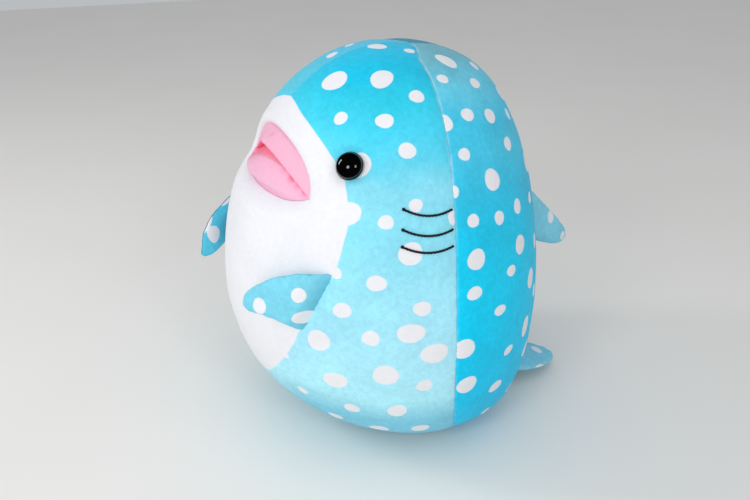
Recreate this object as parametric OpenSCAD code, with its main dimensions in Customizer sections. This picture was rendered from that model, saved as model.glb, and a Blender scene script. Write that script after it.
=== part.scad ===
// Plush shark: an upright egg-shaped body sewn from four gores and a round base,
// with a folded mouth, two safety eyes, stitched gills, two side fins, a back fin and a tail.
// +Z is up, the face looks along -Y and the shark's own left side is +X.
// The origin is the centre of the round base, on the surface that the shark sits on.

/* [Body] */
// Height from the resting face to the crown
body_h = 340; // [330:1:350]
// Half of the body's width at its widest level
body_r = 148; // [144:1:152]
// Height of the widest level
wide_z = 135; // [130:1:140]
// Depth of the body divided by its width
depth_ratio = 0.94; // [0.9:0.01:1]
// How far the middle of the body leans toward the face
lean = 50; // [45:1:55]
// Radius of the round base panel
base_r = 52; // [48:1:54]

/* [Fabric] */
// Thickness of the plush fabric with its pile
fabric_t = 2; // [1.6:0.1:2.2]
// Diameter of the sewing thread in the seams
thread_d = 1.2; // [0.8:0.1:1.3]
// Thickness of the sewn edge of one fin panel
edge_t = 1.4; // [1.2:0.1:1.6]

/* [Eyes] */
// Diameter of a safety eye
eye_d = 21.5; // [20:0.5:23]
// Height of the eye's dome
eye_dome = 8; // [7:0.5:9]
// Direction of the left eye, round from the face
eye_az = 50; // [48:1:54]
// Height of the eyes' centres
eye_z = 270; // [268:1:274]

/* [Mouth] */
// Half of the mouth's width, as an angle round from the face
mouth_az = 36; // [34:1:38]
// Height of the mouth's corners
mouth_z = 242; // [240:1:246]
// Rise of the upper lip over the corners
mouth_rise = 38; // [36:1:42]
// Depth of the fold between the palate and the lower lip
mouth_depth = 12; // [8:1:14]

/* [Gills] */
// Thickness of the embroidered gill lines
gill_d = 2; // [1.4:0.1:2.2]
// Heights of the front ends of the gill lines
gill_zs = [243, 229, 217];

/* [Side fins] */
// Angle between a side fin and the body's surface
fin_tilt = 12; // [12:1:20]
// Half of a side fin's thickness
fin_half = 6; // [5:0.5:6.5]

/* [Back fin] */
// Height of the upper end of the back fin's root
dorsal_top_z = 210; // [206:1:214]
// Height of the lower end of the back fin's root
dorsal_low_z = 143; // [140:1:146]
// Half of the back fin's thickness
dorsal_half = 7; // [6:0.5:8]

/* [Tail] */
// Height of the tail's root
tail_z = 22; // [20:1:24]
// Angle by which the tail droops
tail_droop = 10; // [6:1:11]
// Half of the tail's thickness
tail_half = 7; // [5:0.5:7.5]

/* [Hidden] */
$fn = 48;

// Exponents of the body's outline above and below its widest level
crown_in = 1.87;
crown_out = 1 / 2.56;
foot_in = 1.86;
foot_out = 1 / 3.56;
// How far below the floor the outline's lower end would close
foot_drop = 3.6;
// The lean follows a sine of this angle, on the height to this power
lean_turn = 135;
lean_power = 0.54;
// Steps of the body's mesh below and above the widest level, and round one gore
foot_rows = 6;
crown_rows = 8;
gore_cols = 8;
// Half of the gap that a seam's thread lies in, and the clearance between layers
seam_gap = 0.8;
layer_gap = 0.3;
// Radius of the hole in the gores' ends at the crown
crown_hole_r = 2.5;
// Step over which directions on the surface are measured, in degrees and mm
probe = 0.5;

// ---- the body's surface ----
// az is the angle round from the face toward the shark's left, z the height

function level_r(z) = z >= wide_z
    ? body_r * pow(max(0, 1 - pow((z - wide_z) / (body_h - wide_z), crown_in)), crown_out)
    : body_r * pow(max(0, 1 - pow((wide_z - z) / (wide_z + foot_drop), foot_in)), foot_out);

function lean_at(z) = lean * sin(lean_turn * pow(max(0, z) / body_h, lean_power));

function skin(az, z) = [
    level_r(z) * sin(az),
    -lean_at(z) - depth_ratio * level_r(z) * cos(az),
    z
];

function unit(v) = v / norm(v);

// The direction straight out of the surface
function outward(az, z) = unit(cross(
    skin(az + probe, z) - skin(az - probe, z),
    skin(az, min(z + probe, body_h)) - skin(az, z - probe)));

// A point this far outside the surface, or inside it where out is negative
function off_skin(az, z, out) = skin(az, z) + out * outward(az, z);

// Heights of the mesh's rows, as points of an ellipse's quarter turn
foot_turn = asin(pow(wide_z / (wide_z + foot_drop), foot_in / 2));
crown_turn = acos(pow(crown_hole_r / body_r, 1 / (2 * crown_out)));
row_zs = [
    for (i = [0:foot_rows - 1])
        let (turn = foot_turn * (1 - i / foot_rows))
        i == 0 ? 0 : wide_z - (wide_z + foot_drop) * pow(sin(turn), 2 / foot_in),
    for (i = [0:crown_rows])
        wide_z + (body_h - wide_z) * pow(sin(crown_turn * i / crown_rows), 2 / crown_in)
];

// ---- general mesh builders ----

// Faces of a grid of rows by cols points, starting at point first
function grid_faces(rows, cols, first, flip) = [
    for (i = [0:rows - 2], j = [0:cols - 2])
        let (a = first + i * cols + j, b = a + 1, c = a + cols, d = c + 1)
        each flip ? [[a, b, d], [a, d, c]] : [[a, d, b], [a, c, d]]
];

// Walls that join the rims of two grids that lie one over the other
function rim_faces(rows, cols) =
    let (
        n = rows * cols,
        rim = concat(
            [for (j = [0:cols - 1]) j],
            [for (i = [1:rows - 1]) i * cols + cols - 1],
            [for (j = [cols - 2:-1:0]) (rows - 1) * cols + j],
            [for (i = [rows - 2:-1:1]) i * cols])
    )
    [for (k = [0:len(rim) - 1])
        let (a = rim[k], b = rim[(k + 1) % len(rim)])
        each [[a, b, n + b], [a, n + b, n + a]]];

// A closed sheet between an outer and an inner grid of points
module sheet(outer, inner) {
    rows = len(outer);
    cols = len(outer[0]);
    points = concat([for (row = outer) each row], [for (row = inner) each row]);
    polyhedron(points, concat(
        grid_faces(rows, cols, 0, false),
        grid_faces(rows, cols, rows * cols, true),
        rim_faces(rows, cols)));
}

// A closed skin over rings of points, with a flat end at each side
module closed_rings(rings) {
    rows = len(rings);
    cols = len(rings[0]);
    polyhedron([for (ring = rings) each ring], concat(
        [for (i = [0:rows - 2], j = [0:cols - 1])
            let (a = i * cols + j, b = i * cols + (j + 1) % cols)
            each [[a, b + cols, b], [a, a + cols, b + cols]]],
        [[for (j = [0:cols - 1]) j]],
        [[for (j = [cols - 1:-1:0]) (rows - 1) * cols + j]]));
}

// A thread along points of the surface, given as [az, z, out]
thread_sides = 6;
module thread(path, d) {
    spine = [for (p = path) off_skin(p[0], p[1], p[2])];
    last = len(spine) - 1;
    closed_rings([for (k = [0:last])
        let (
            along = unit(spine[min(k + 1, last)] - spine[max(k - 1, 0)]),
            up = outward(path[k][0], path[k][1]),
            side = unit(cross(along, up)),
            over = cross(side, along)
        )
        [for (j = [0:thread_sides - 1])
            let (turn = 360 * j / thread_sides)
            spine[k] + d / 2 * (cos(turn) * side + sin(turn) * over)]]);
}

// ---- body panels ----

// Ring of the floor flange round the base panel
flange_r = base_r + 2 * seam_gap;

function gore_az(start, r, j) =
    let (gap = asin(seam_gap / r))
    start + gap + (90 - 2 * gap) * j / gore_cols;

// One row of a gore, this far outside the surface; the first row is the flange's edge
function gore_row(start, k, out) = [for (j = [0:gore_cols])
    k < 0
        ? let (az = gore_az(start, flange_r, j))
          [flange_r * sin(az), -flange_r * cos(az), -out]
        : let (z = row_zs[k], az = gore_az(start, level_r(z), j))
          off_skin(az, z, out)];

module gore(start) {
    sheet(
        [for (k = [-1:len(row_zs) - 1]) gore_row(start, k, 0)],
        [for (k = [-1:len(row_zs) - 1]) gore_row(start, k, -fabric_t)]);
}

// ---- mouth ----
// s runs from corner to corner, t from the lower lip at -1 over the fold at 0 to the upper lip

fold_rise = 27;
lip_drop = 8;
lip_power = 4.35;

function upper_lip(s) = mouth_z + mouth_rise * sqrt(1 - s * s);
function fold(s) = mouth_z + fold_rise * (1 - s * s);
function lower_lip(s) = mouth_z - lip_drop * (1 - pow(abs(s), lip_power));

function mouth_level(s, t) =
    fold(s) + t * (t > 0 ? upper_lip(s) - fold(s) : fold(s) - lower_lip(s));
function mouth_sink(s, t) = mouth_depth * (1 - s * s) * (1 - abs(t));

mouth_cols = 14;
mouth_rows = 3;
// How far the fabric and its pocket reach toward the corners and the lips
mouth_reach = 0.93;
pocket_reach = 0.96;
mouth_edge = 0.96;
// Half of the gap between the palate and the lower lip at the fold
fold_gap = 0.03;

// A grid over part of the mouth, between the levels t0 and t1; sunk is 0 for a grid on the skin
function mouth_grid(t0, t1, rows, reach, sunk, out) = [
    for (i = [0:rows])
        let (t = t0 + (t1 - t0) * i / rows)
        [for (j = [0:mouth_cols])
            let (s = reach * (2 * j / mouth_cols - 1))
            off_skin(mouth_az * s, mouth_level(s, t), out - sunk * mouth_sink(s, t))]
];

// The open pocket, this much deeper than the fabric's front
pocket_front = 4;
module mouth_pocket(deeper) {
    sheet(
        mouth_grid(-1, 1, 2 * mouth_rows, pocket_reach, 0, pocket_front),
        mouth_grid(-1, 1, 2 * mouth_rows, pocket_reach, 1, -deeper));
}

mouth_fabric = 1.5;
module mouth_panel(t0, t1) {
    sheet(
        mouth_grid(t0, t1, mouth_rows, mouth_reach, 1, -layer_gap),
        mouth_grid(t0, t1, mouth_rows, mouth_reach, 1, -layer_gap - mouth_fabric));
}

// ---- eyes ----

post_d = 5;
post_l = 15;
eye_sink = 1.2;
washer_d = 18;
washer_t = 2.5;
washer_depth = 4;
eye_clear = 0.4;
eye_rim = 1.5;

// Places its children on the surface at an eye, looking straight out
module at_eye() {
    out = outward(eye_az, eye_z);
    translate(skin(eye_az, eye_z))
        rotate([0, acos(out[2]), atan2(out[1], out[0])])
            children();
}

// Dome with a short straight rim, on a post that goes through the fabric
module eye() {
    cap_r = (pow(eye_d / 2, 2) + pow(eye_dome - eye_rim, 2)) / (2 * (eye_dome - eye_rim));
    at_eye() translate([0, 0, -eye_sink]) {
        intersection() {
            translate([0, 0, eye_dome - cap_r]) sphere(cap_r);
            cylinder(h = eye_dome, d = eye_d);
        }
        translate([0, 0, -post_l]) cylinder(h = post_l + eye_rim, d = post_d);
    }
}

module eye_washer() {
    at_eye() translate([0, 0, -washer_depth - washer_t]) difference() {
        cylinder(h = washer_t, d = washer_d);
        translate([0, 0, -1]) cylinder(h = washer_t + 2, d = post_d + eye_clear / 2);
    }
}

// Seat in the pressed fabric and the hole for the post
module eye_seat() {
    at_eye() {
        translate([0, 0, -eye_sink - eye_clear / 2]) cylinder(h = eye_dome, d = eye_d + 2 * eye_clear);
        translate([0, 0, -post_l]) cylinder(h = post_l, d = post_d + 2 * eye_clear);
    }
}

// Room in the filling for the washer and the post
module eye_pocket() {
    at_eye() {
        translate([0, 0, -washer_depth - washer_t - eye_clear])
            cylinder(h = washer_depth + washer_t + eye_dome, d = washer_d + 4 * eye_clear);
        translate([0, 0, -post_l - eye_sink - 2 * eye_clear])
            cylinder(h = post_l, d = post_d + 4 * eye_clear);
    }
}

// ---- gills ----

gill_front_az = 71;
gill_back_az = 89;
gill_fall = 3;
gill_sag = 9.8;
gill_steps = 7;

module gills() {
    for (z = gill_zs)
        thread([for (i = [0:gill_steps])
            let (t = i / gill_steps, u = 1 - t)
            [
                gill_front_az + (gill_back_az - gill_front_az) * t,
                u * u * z + 2 * u * t * (z - gill_sag) + t * t * (z - gill_fall),
                gill_d / 2 + layer_gap
            ]], gill_d);
}

// ---- fins ----
// A fin is drawn flat: u runs down its root, v away from the body

function bezier(p, t) =
    let (u = 1 - t)
    u * u * u * p[0] + 3 * u * u * t * p[1] + 3 * u * t * t * p[2] + t * t * t * p[3];

fin_steps = 9;
root_steps = 3;
fin_rings = 4;
// Distance from the hinge line to the sewn root edge
root_gap = 1.5;

// Closed outline from a leading edge, a trailing edge and a line or curve of root points
function fin_outline(lead, trail, root) = concat(
    [for (i = [0:fin_steps]) bezier(lead, i / fin_steps)],
    [for (i = [fin_steps:-1:0]) bezier(trail, i / fin_steps)],
    root);

// Points along a straight root of this length, from its lower end up
function root_points(length) =
    [for (i = [root_steps:-1:1]) [length * i / (root_steps + 1), root_gap]];

// Points of one ring of a domed fin face: ring 0 is the outline, higher rings lie inside it
function fin_ring(outline, mid, frame, ring, half, shrink, side) =
    let (
        turn = 90 * ring / fin_rings,
        rise = edge_t + (half - edge_t) * sin(turn) - shrink
    )
    [for (p = outline)
        let (q = mid + (p - mid) * cos(turn))
        frame[0] + q[0] * frame[1] + q[1] * frame[2] + side * rise * frame[3]];

// 1 where the frame is right-handed, -1 where it is mirrored
function handed(frame) = sign(cross(frame[1], frame[2]) * frame[3]);

// Two domes over one outline, each given as rings and a middle point, joined at their rims
module dome_pair(outer, inner, outer_mid, inner_mid, flip) {
    count = len(outer[0]);
    n = count * fin_rings;
    faces = concat(
        [for (k = [0:fin_rings - 2], j = [0:count - 1])
            let (a = k * count + j, b = k * count + (j + 1) % count)
            each [[a, b, b + count], [a, b + count, a + count],
                  [n + a, n + b + count, n + b], [n + a, n + a + count, n + b + count]]],
        [for (j = [0:count - 1])
            let (a = n - count + j, b = n - count + (j + 1) % count)
            each [[a, b, 2 * n], [n + b, n + a, 2 * n + 1]]],
        [for (j = [0:count - 1])
            let (a = j, b = (j + 1) % count)
            each [[a, n + a, n + b], [a, n + b, b]]]);
    polyhedron(
        concat([for (ring = outer) each ring], [for (ring = inner) each ring], outer_mid, inner_mid),
        flip ? [for (f = faces) [f[2], f[1], f[0]]] : faces);
}

// One fabric face of a fin, ending just short of the seam plane; side is 1 or -1
seam_half = 0.15;
module fin_panel(outline, mid, frame, half, side) {
    under = edge_t - seam_half;
    dome_pair(
        [for (k = [0:fin_rings - 1]) fin_ring(outline, mid, frame, k, half, 0, side)],
        [for (k = [0:fin_rings - 1]) fin_ring(outline, mid, frame, k, half, under, side)],
        fin_ring([mid], mid, frame, fin_rings, half, 0, side),
        fin_ring([mid], mid, frame, fin_rings, half, under, side),
        side * handed(frame) < 0);
}

// Filling between the two faces, clear of both and of the sewn edge
fill_scale = 0.84;
fill_edge = 0.35;
module fin_fill(outline, mid, frame, half) {
    small = [for (p = outline) mid + fill_scale * (p - mid)];
    fill_half = half - layer_gap;
    under = edge_t - fill_edge;
    dome_pair(
        [for (k = [0:fin_rings - 1]) fin_ring(small, mid, frame, k, fill_half, under, 1)],
        [for (k = [0:fin_rings - 1]) fin_ring(small, mid, frame, k, fill_half, under, -1)],
        fin_ring([mid], mid, frame, fin_rings, fill_half, under, 1),
        fin_ring([mid], mid, frame, fin_rings, fill_half, under, -1),
        handed(frame) < 0);
}

// ---- left side fin ----

fin_top = [49.5, 191];
fin_low = [40, 144];
// Height of the hinge line over the surface at the root's ends
fin_lift = 4;
fin_root_l = 53;
fin_lead = [[0, root_gap], [5, 22], [30, 50], [53, 52.5]];
fin_trail = [[fin_root_l, root_gap], [56, 16], [60, 34], [60, 47]];
fin_mid = [38, 26];
fin_root = root_points(fin_root_l);
fin_line = fin_outline(fin_lead, fin_trail, fin_root);
fin_start = off_skin(fin_top[0], fin_top[1], fin_lift);
fin_end = off_skin(fin_low[0], fin_low[1], fin_lift);
fin_down = unit(fin_end - fin_start);
fin_face = outward((fin_top[0] + fin_low[0]) / 2, (fin_top[1] + fin_low[1]) / 2);
fin_along = unit(cross(fin_down, fin_face));
fin_out = cross(fin_along, fin_down);
fin_frame = [
    fin_start,
    fin_down,
    cos(fin_tilt) * fin_along + sin(fin_tilt) * fin_out,
    cos(fin_tilt) * fin_out - sin(fin_tilt) * fin_along
];
inner_half = 4;

// ---- back fin ----

dorsal_lift = 3.5;
dorsal_start = off_skin(180, dorsal_top_z, dorsal_lift);
dorsal_end = off_skin(180, dorsal_low_z, dorsal_lift);
dorsal_down = unit(dorsal_end - dorsal_start);
dorsal_frame = [dorsal_start, dorsal_down, cross(dorsal_down, [-1, 0, 0]), [1, 0, 0]];
dorsal_len = norm(dorsal_end - dorsal_start);
dorsal_lead = [[0, root_gap], [17, 26], [56, 65], [80, 68]];
dorsal_trail = [[dorsal_len, root_gap], [72, 20], [88, 45], [85, 66]];
dorsal_mid = [60, 34];
dorsal_root = root_points(dorsal_len);
dorsal_line = fin_outline(dorsal_lead, dorsal_trail, dorsal_root);

// ---- tail ----
// u runs across to the shark's left, v backward; each half has one rounded lobe

tail_lift = 4;
tail_root_w = 44;
tail_lobe = [[tail_root_w, 0], [56, 22], [52, 62], [30, 59]];
tail_notch = [[30, 59], [18, 58], [8, 50], [0, 38]];
tail_steps = 5;
tail_start = off_skin(180, tail_z, tail_lift);
tail_frame = [
    tail_start,
    [1, 0, 0],
    [0, cos(tail_droop), -sin(tail_droop)],
    [0, sin(tail_droop), cos(tail_droop)]
];
tail_mid = [0, 20];
// The root follows the body's round back
function tail_root_v(u) = root_gap - depth_ratio
    * (level_r(tail_z) - sqrt(pow(level_r(tail_z), 2) - u * u));
tail_half_line = concat(
    [for (i = [1:root_steps]) let (u = tail_root_w * i / root_steps) [u, tail_root_v(u)]],
    [for (i = [1:tail_steps]) bezier(tail_lobe, i / tail_steps)],
    [for (i = [1:tail_steps - 1]) bezier(tail_notch, i / tail_steps)]);
tail_line = concat(
    [[0, tail_root_v(0)]],
    tail_half_line,
    [tail_notch[3]],
    [for (i = [len(tail_half_line) - 1:-1:0]) [-tail_half_line[i][0], tail_half_line[i][1]]]);

// ---- sub-parts ----

// Depth of the mouth's hole through a gore
mouth_cut = 8;
module front_left_panel() {
    color("skyblue") difference() {
        gore(0);
        mouth_pocket(mouth_cut);
        eye_seat();
    }
}

module front_right_panel() {
    color("skyblue") difference() {
        gore(-90);
        mouth_pocket(mouth_cut);
        mirror([1, 0, 0]) eye_seat();
    }
}

module back_left_panel() {
    color("deepskyblue") gore(90);
}

module back_right_panel() {
    color("deepskyblue") gore(180);
}

module base_panel() {
    color("deepskyblue") cylinder(h = fabric_t, r = base_r);
}

module body_stuffing() {
    under = fabric_t + layer_gap;
    color("whitesmoke") difference() {
        closed_rings([for (z = row_zs)
            [for (j = [0:4 * gore_cols - 1])
                let (p = off_skin(90 * j / gore_cols, z, -under))
                [p[0], p[1], max(p[2], under)]]]);
        mouth_pocket(mouth_fabric + 3 * layer_gap);
        eye_pocket();
        mirror([1, 0, 0]) eye_pocket();
    }
}

module mouth_upper_panel() {
    color("pink") mouth_panel(fold_gap, mouth_edge);
}

module mouth_lower_panel() {
    color("lightpink") mouth_panel(-mouth_edge, -fold_gap);
}

module left_eye() {
    color("black") eye();
}

module right_eye() {
    color("black") mirror([1, 0, 0]) eye();
}

module left_eye_washer() {
    color("white") eye_washer();
}

module right_eye_washer() {
    color("white") mirror([1, 0, 0]) eye_washer();
}

module left_gill_stitches() {
    color("midnightblue") gills();
}

module right_gill_stitches() {
    color("midnightblue") mirror([1, 0, 0]) gills();
}

// Seam threads lie in the gaps between the gores, from this row of the mesh up
thread_low = 1;
module centre_seam_thread() {
    rise = [for (k = [thread_low:len(row_zs) - 1]) row_zs[k]];
    color("skyblue") difference() {
        thread(concat(
            [for (z = rise) [0, z, -thread_d / 2]],
            [for (k = [len(rise) - 1:-1:0]) [180, rise[k], -thread_d / 2]]), thread_d);
        mouth_pocket(fabric_t);
    }
}

module left_seam_thread() {
    color("skyblue") thread(
        [for (k = [thread_low:len(row_zs) - 2]) [90, row_zs[k], -thread_d / 2]], thread_d);
}

module right_seam_thread() {
    color("skyblue") mirror([1, 0, 0]) thread(
        [for (k = [thread_low:len(row_zs) - 2]) [90, row_zs[k], -thread_d / 2]], thread_d);
}

module base_seam_thread() {
    color("skyblue") translate([0, 0, fabric_t / 2])
        rotate_extrude() translate([base_r + seam_gap, 0]) circle(d = thread_d, $fn = 24);
}

module left_fin_outer_panel() {
    color("skyblue") fin_panel(fin_line, fin_mid, fin_frame, fin_half, 1);
}

module left_fin_inner_panel() {
    color("skyblue") fin_panel(fin_line, fin_mid, fin_frame, inner_half, -1);
}

module left_fin_stuffing() {
    color("whitesmoke") fin_fill(fin_line, fin_mid, fin_frame, inner_half);
}

module right_fin_outer_panel() {
    color("skyblue") mirror([1, 0, 0]) fin_panel(fin_line, fin_mid, fin_frame, fin_half, 1);
}

module right_fin_inner_panel() {
    color("skyblue") mirror([1, 0, 0]) fin_panel(fin_line, fin_mid, fin_frame, inner_half, -1);
}

module right_fin_stuffing() {
    color("whitesmoke") mirror([1, 0, 0]) fin_fill(fin_line, fin_mid, fin_frame, inner_half);
}

module dorsal_fin_left_panel() {
    color("deepskyblue") fin_panel(dorsal_line, dorsal_mid, dorsal_frame, dorsal_half, 1);
}

module dorsal_fin_right_panel() {
    color("deepskyblue") fin_panel(dorsal_line, dorsal_mid, dorsal_frame, dorsal_half, -1);
}

module dorsal_fin_stuffing() {
    color("whitesmoke") fin_fill(dorsal_line, dorsal_mid, dorsal_frame, dorsal_half);
}

module tail_upper_panel() {
    color("deepskyblue") fin_panel(tail_line, tail_mid, tail_frame, tail_half, 1);
}

module tail_lower_panel() {
    color("deepskyblue") fin_panel(tail_line, tail_mid, tail_frame, tail_half, -1);
}

module tail_stuffing() {
    color("whitesmoke") fin_fill(tail_line, tail_mid, tail_frame, tail_half);
}

front_left_panel();
front_right_panel();
back_left_panel();
back_right_panel();
base_panel();
body_stuffing();
mouth_upper_panel();
mouth_lower_panel();
left_eye();
right_eye();
left_eye_washer();
right_eye_washer();
left_gill_stitches();
right_gill_stitches();
centre_seam_thread();
left_seam_thread();
right_seam_thread();
base_seam_thread();
left_fin_outer_panel();
left_fin_inner_panel();
left_fin_stuffing();
right_fin_outer_panel();
right_fin_inner_panel();
right_fin_stuffing();
dorsal_fin_left_panel();
dorsal_fin_right_panel();
dorsal_fin_stuffing();
tail_upper_panel();
tail_lower_panel();
tail_stuffing();
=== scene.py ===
import math

import bpy
import numpy as np
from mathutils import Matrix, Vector, noise
from mathutils.geometry import delaunay_2d_cdt


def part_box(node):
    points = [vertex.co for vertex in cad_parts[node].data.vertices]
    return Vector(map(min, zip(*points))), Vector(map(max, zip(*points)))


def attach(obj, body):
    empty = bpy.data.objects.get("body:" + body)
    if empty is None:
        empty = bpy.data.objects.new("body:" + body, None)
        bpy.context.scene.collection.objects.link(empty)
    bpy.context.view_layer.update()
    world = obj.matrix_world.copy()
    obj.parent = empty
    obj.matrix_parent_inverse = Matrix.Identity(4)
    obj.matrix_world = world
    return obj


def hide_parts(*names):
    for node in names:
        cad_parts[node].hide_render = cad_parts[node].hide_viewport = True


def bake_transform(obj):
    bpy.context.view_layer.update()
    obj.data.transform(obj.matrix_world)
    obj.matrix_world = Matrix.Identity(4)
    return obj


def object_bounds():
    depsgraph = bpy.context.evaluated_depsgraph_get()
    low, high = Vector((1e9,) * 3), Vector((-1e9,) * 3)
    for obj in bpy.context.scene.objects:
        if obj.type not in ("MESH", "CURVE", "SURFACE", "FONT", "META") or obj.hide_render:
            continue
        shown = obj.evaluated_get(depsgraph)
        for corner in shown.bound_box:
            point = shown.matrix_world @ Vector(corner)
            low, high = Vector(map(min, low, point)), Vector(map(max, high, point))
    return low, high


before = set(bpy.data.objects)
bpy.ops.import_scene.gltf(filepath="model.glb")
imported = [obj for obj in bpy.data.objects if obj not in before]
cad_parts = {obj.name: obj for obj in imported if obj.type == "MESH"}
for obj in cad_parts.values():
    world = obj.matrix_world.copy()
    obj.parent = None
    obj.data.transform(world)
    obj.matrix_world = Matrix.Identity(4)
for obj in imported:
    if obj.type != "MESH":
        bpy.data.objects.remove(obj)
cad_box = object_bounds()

# Plush shark: an upright egg-shaped body of four spotted gores and a round base, with a folded
# mouth, two safety eyes, embroidered gills, two side fins, a back fin and a tail.
# Lengths are millimetres in this script and become metres in new_mesh(). az is the angle in
# degrees round from the face (-Y) toward the shark's own left (+X), and z the height.

MM = 0.001

# ---- driving values, as in the frame ----

BODY_H = cad_box[1][2] / MM
BODY_R = cad_box[1][0] / MM
WIDE_Z = 135
DEPTH_RATIO = 0.94
LEAN = 50
LEAN_TURN = math.radians(135)
LEAN_POWER = 0.54
CROWN_POWERS = (1.87, 1 / 2.56)
FOOT_POWERS = (1.86, 1 / 3.56)
FOOT_DROP = 3.6
BASE_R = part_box("base_panel")[1][0] / MM

# Fabric thickness and half of the gap between two sewn edges
FABRIC = 1.6
SEAM_GAP = 0.12
# How sewing pulls the fabric in, as (depth, width) pairs, at a seam and at a fin's root
SEAM_VALLEYS = ((0.45, 0.8), (1.3, 7))
ROOT_VALLEYS = ((1.3, 1.8), (0.8, 8))
# The filling's lumps under the fabric, as (height, size) pairs
FABRIC_LUMPS = ((0.9, 62), (0.35, 21), (0.08, 3.2))
# The seams fade out where the body's radius gets below this, and the gores sink by this instead
CROWN_FADE_R = 22
CROWN_SINK = 1.6
# Height over which all of this fades in above the base
FOOT_FADE = 9

# Mouth: half width as an angle, height of the corners, rises of the upper lip and of the fold,
# and drop of the lower lip
MOUTH_AZ = 36
MOUTH_Z = 242
LIP_RISE = 38
FOLD_RISE = 27
LIP_DROP = 8
LIP_POWER = 4.35
# How deep the sewn edge sits at the corners and, over that, at the middle of each lip
CORNER_SINK = 5.8
UPPER_SINK = 2.1
LOWER_SINK = 6.7
# How strongly the front seam shows, next to the other seams
FRONT_SEAM = 0.12
# Width over which the white fabric rolls in to the mouth's edge
ROLL_W = 13

# How far behind the highest point the gores meet, and how far out from there they are moved
CROWN_BACK = 13
CROWN_REACH = 54

EYE_AZ = 50
EYE_Z = 270
EYE_R = 10.75
EYE_DOME = 8
EYE_SINK = 1.2
# How deep the eye's post pulls the fabric in, how far past its rim, and the width of the slope
EYE_PULL = 2.2
EYE_PULL_REACH = 7.5
EYE_PULL_SLOPE = 8

# Heights of the gills' front ends, their angles from front to back, and how far they sag and fall
GILL_ZS = (243, 229, 217)
GILL_AZ = (71, 89)
GILL_SAG = 9.8
GILL_FALL = 3
GILL_R = 0.88

SEED = 7


# ---- numbers and curves ----

def smooth(x):
    """0 below 0, 1 above 1, and a smooth step between."""
    x = np.clip(x, 0, 1)
    return x * x * (3 - 2 * x)


def bell(d, width):
    """1 at d = 0, falling away over this width."""
    return np.exp(-(np.asarray(d, float) / width) ** 2)


def curve_through(points, step):
    """Catmull-Rom curve through the points, sampled about every step."""
    p = np.array(points, float)
    p = np.vstack([2 * p[0] - p[1], p, 2 * p[-1] - p[-2]])
    out = []
    for a, b, c, d in zip(p[:-3], p[1:-2], p[2:-1], p[3:]):
        count = max(2, int(np.linalg.norm(c - b) / step) + 1)
        t = np.linspace(0, 1, count, endpoint=False)[:, None]
        out.append(0.5 * (2 * b + (c - a) * t + (2 * a - 5 * b + 4 * c - d) * t ** 2
                          + (3 * b - a - 3 * c + d) * t ** 3))
    return np.vstack(out + [p[-2:-1]])


def bezier(p, t):
    """Cubic curve through four control points."""
    p = np.array(p, float)
    t = np.asarray(t, float)[:, None]
    u = 1 - t
    return u ** 3 * p[0] + 3 * u * u * t * p[1] + 3 * u * t * t * p[2] + t ** 3 * p[3]


def unit(v):
    v = np.asarray(v, float)
    return v / np.linalg.norm(v, axis=-1, keepdims=True)


def lengths_along(path):
    """Length from a path's start to each of its points."""
    return np.concatenate([[0], np.cumsum(np.linalg.norm(np.diff(path, axis=0), axis=1))])


def lumps(points, scale, seed):
    """Smooth noise from -1 to 1 at each point; scale is the size of one lump in mm."""
    shift = Vector((seed * 17.3, seed * 5.1, seed * 9.7))
    flat = np.asarray(points, float).reshape(-1, 3)
    values = [noise.noise(Vector(p) / scale + shift) for p in flat]
    return np.array(values).reshape(np.shape(points)[:-1])


# ---- the body's surface ----

def level_r(z):
    """Radius of the body at a height."""
    z = np.asarray(z, float)
    up = np.clip((z - WIDE_Z) / (BODY_H - WIDE_Z), 0, 1)
    down = np.clip((WIDE_Z - z) / (WIDE_Z + FOOT_DROP), 0, 1)
    crown = (1 - up ** CROWN_POWERS[0]) ** CROWN_POWERS[1]
    foot = (1 - down ** FOOT_POWERS[0]) ** FOOT_POWERS[1]
    return BODY_R * np.where(z >= WIDE_Z, crown, foot)


def lean_at(z):
    """How far forward the body's middle is at a height."""
    return LEAN * np.sin(LEAN_TURN * (np.clip(z, 0, None) / BODY_H) ** LEAN_POWER)


def skin(az, z):
    az, z = np.broadcast_arrays(np.asarray(az, float), np.asarray(z, float))
    turn = np.radians(az)
    r = level_r(z)
    return np.stack([r * np.sin(turn), -lean_at(z) - DEPTH_RATIO * r * np.cos(turn), z], -1)


def outward(az, z):
    """Direction straight out of the surface."""
    az, z = np.broadcast_arrays(np.asarray(az, float), np.asarray(z, float))
    probe = 0.4
    across = skin(az + probe, z) - skin(az - probe, z)
    high = np.minimum(z + probe, BODY_H - 0.01)
    rise = skin(az, high) - skin(az, high - 2 * probe)
    return unit(np.cross(across, rise))


def off_skin(az, z, out):
    return skin(az, z) + np.asarray(out, float)[..., None] * outward(az, z)


def surface_place(point):
    """(az, z, height over the surface) of points near it."""
    p = np.asarray(point, float)
    z = np.clip(p[..., 2], 0.5, BODY_H - 0.5)
    back = -(p[..., 1] + lean_at(z)) / DEPTH_RATIO
    az = np.degrees(np.arctan2(p[..., 0], back))
    out = outward(az, z)
    return az, z, ((p - skin(az, z)) * out).sum(-1)


# Arc length up the body's outline, for rows of even height
_zs = BODY_H * (0.5 - 0.5 * np.cos(np.linspace(0, math.pi, 4000)))
_arc = np.concatenate([[0], np.cumsum(np.hypot(np.diff(_zs), np.diff(level_r(_zs))))])
_crown_z = _zs[_zs > WIDE_Z][::-1]
_crown_r = level_r(_crown_z)


def moved_up(z, distance):
    """Heights this far up along the surface from z."""
    return np.interp(np.interp(z, _zs, _arc) + distance, _arc, _zs)


def rows_between(low, high, count):
    """Heights from low to high in equal steps along the surface; low and high may be arrays."""
    a, b = np.interp(low, _zs, _arc), np.interp(high, _zs, _arc)
    t = np.linspace(0, 1, count + 1).reshape((-1,) + (1,) * np.ndim(a + b))
    return np.interp(a + (b - a) * t, _arc, _zs)


# ---- distances ----

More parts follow.
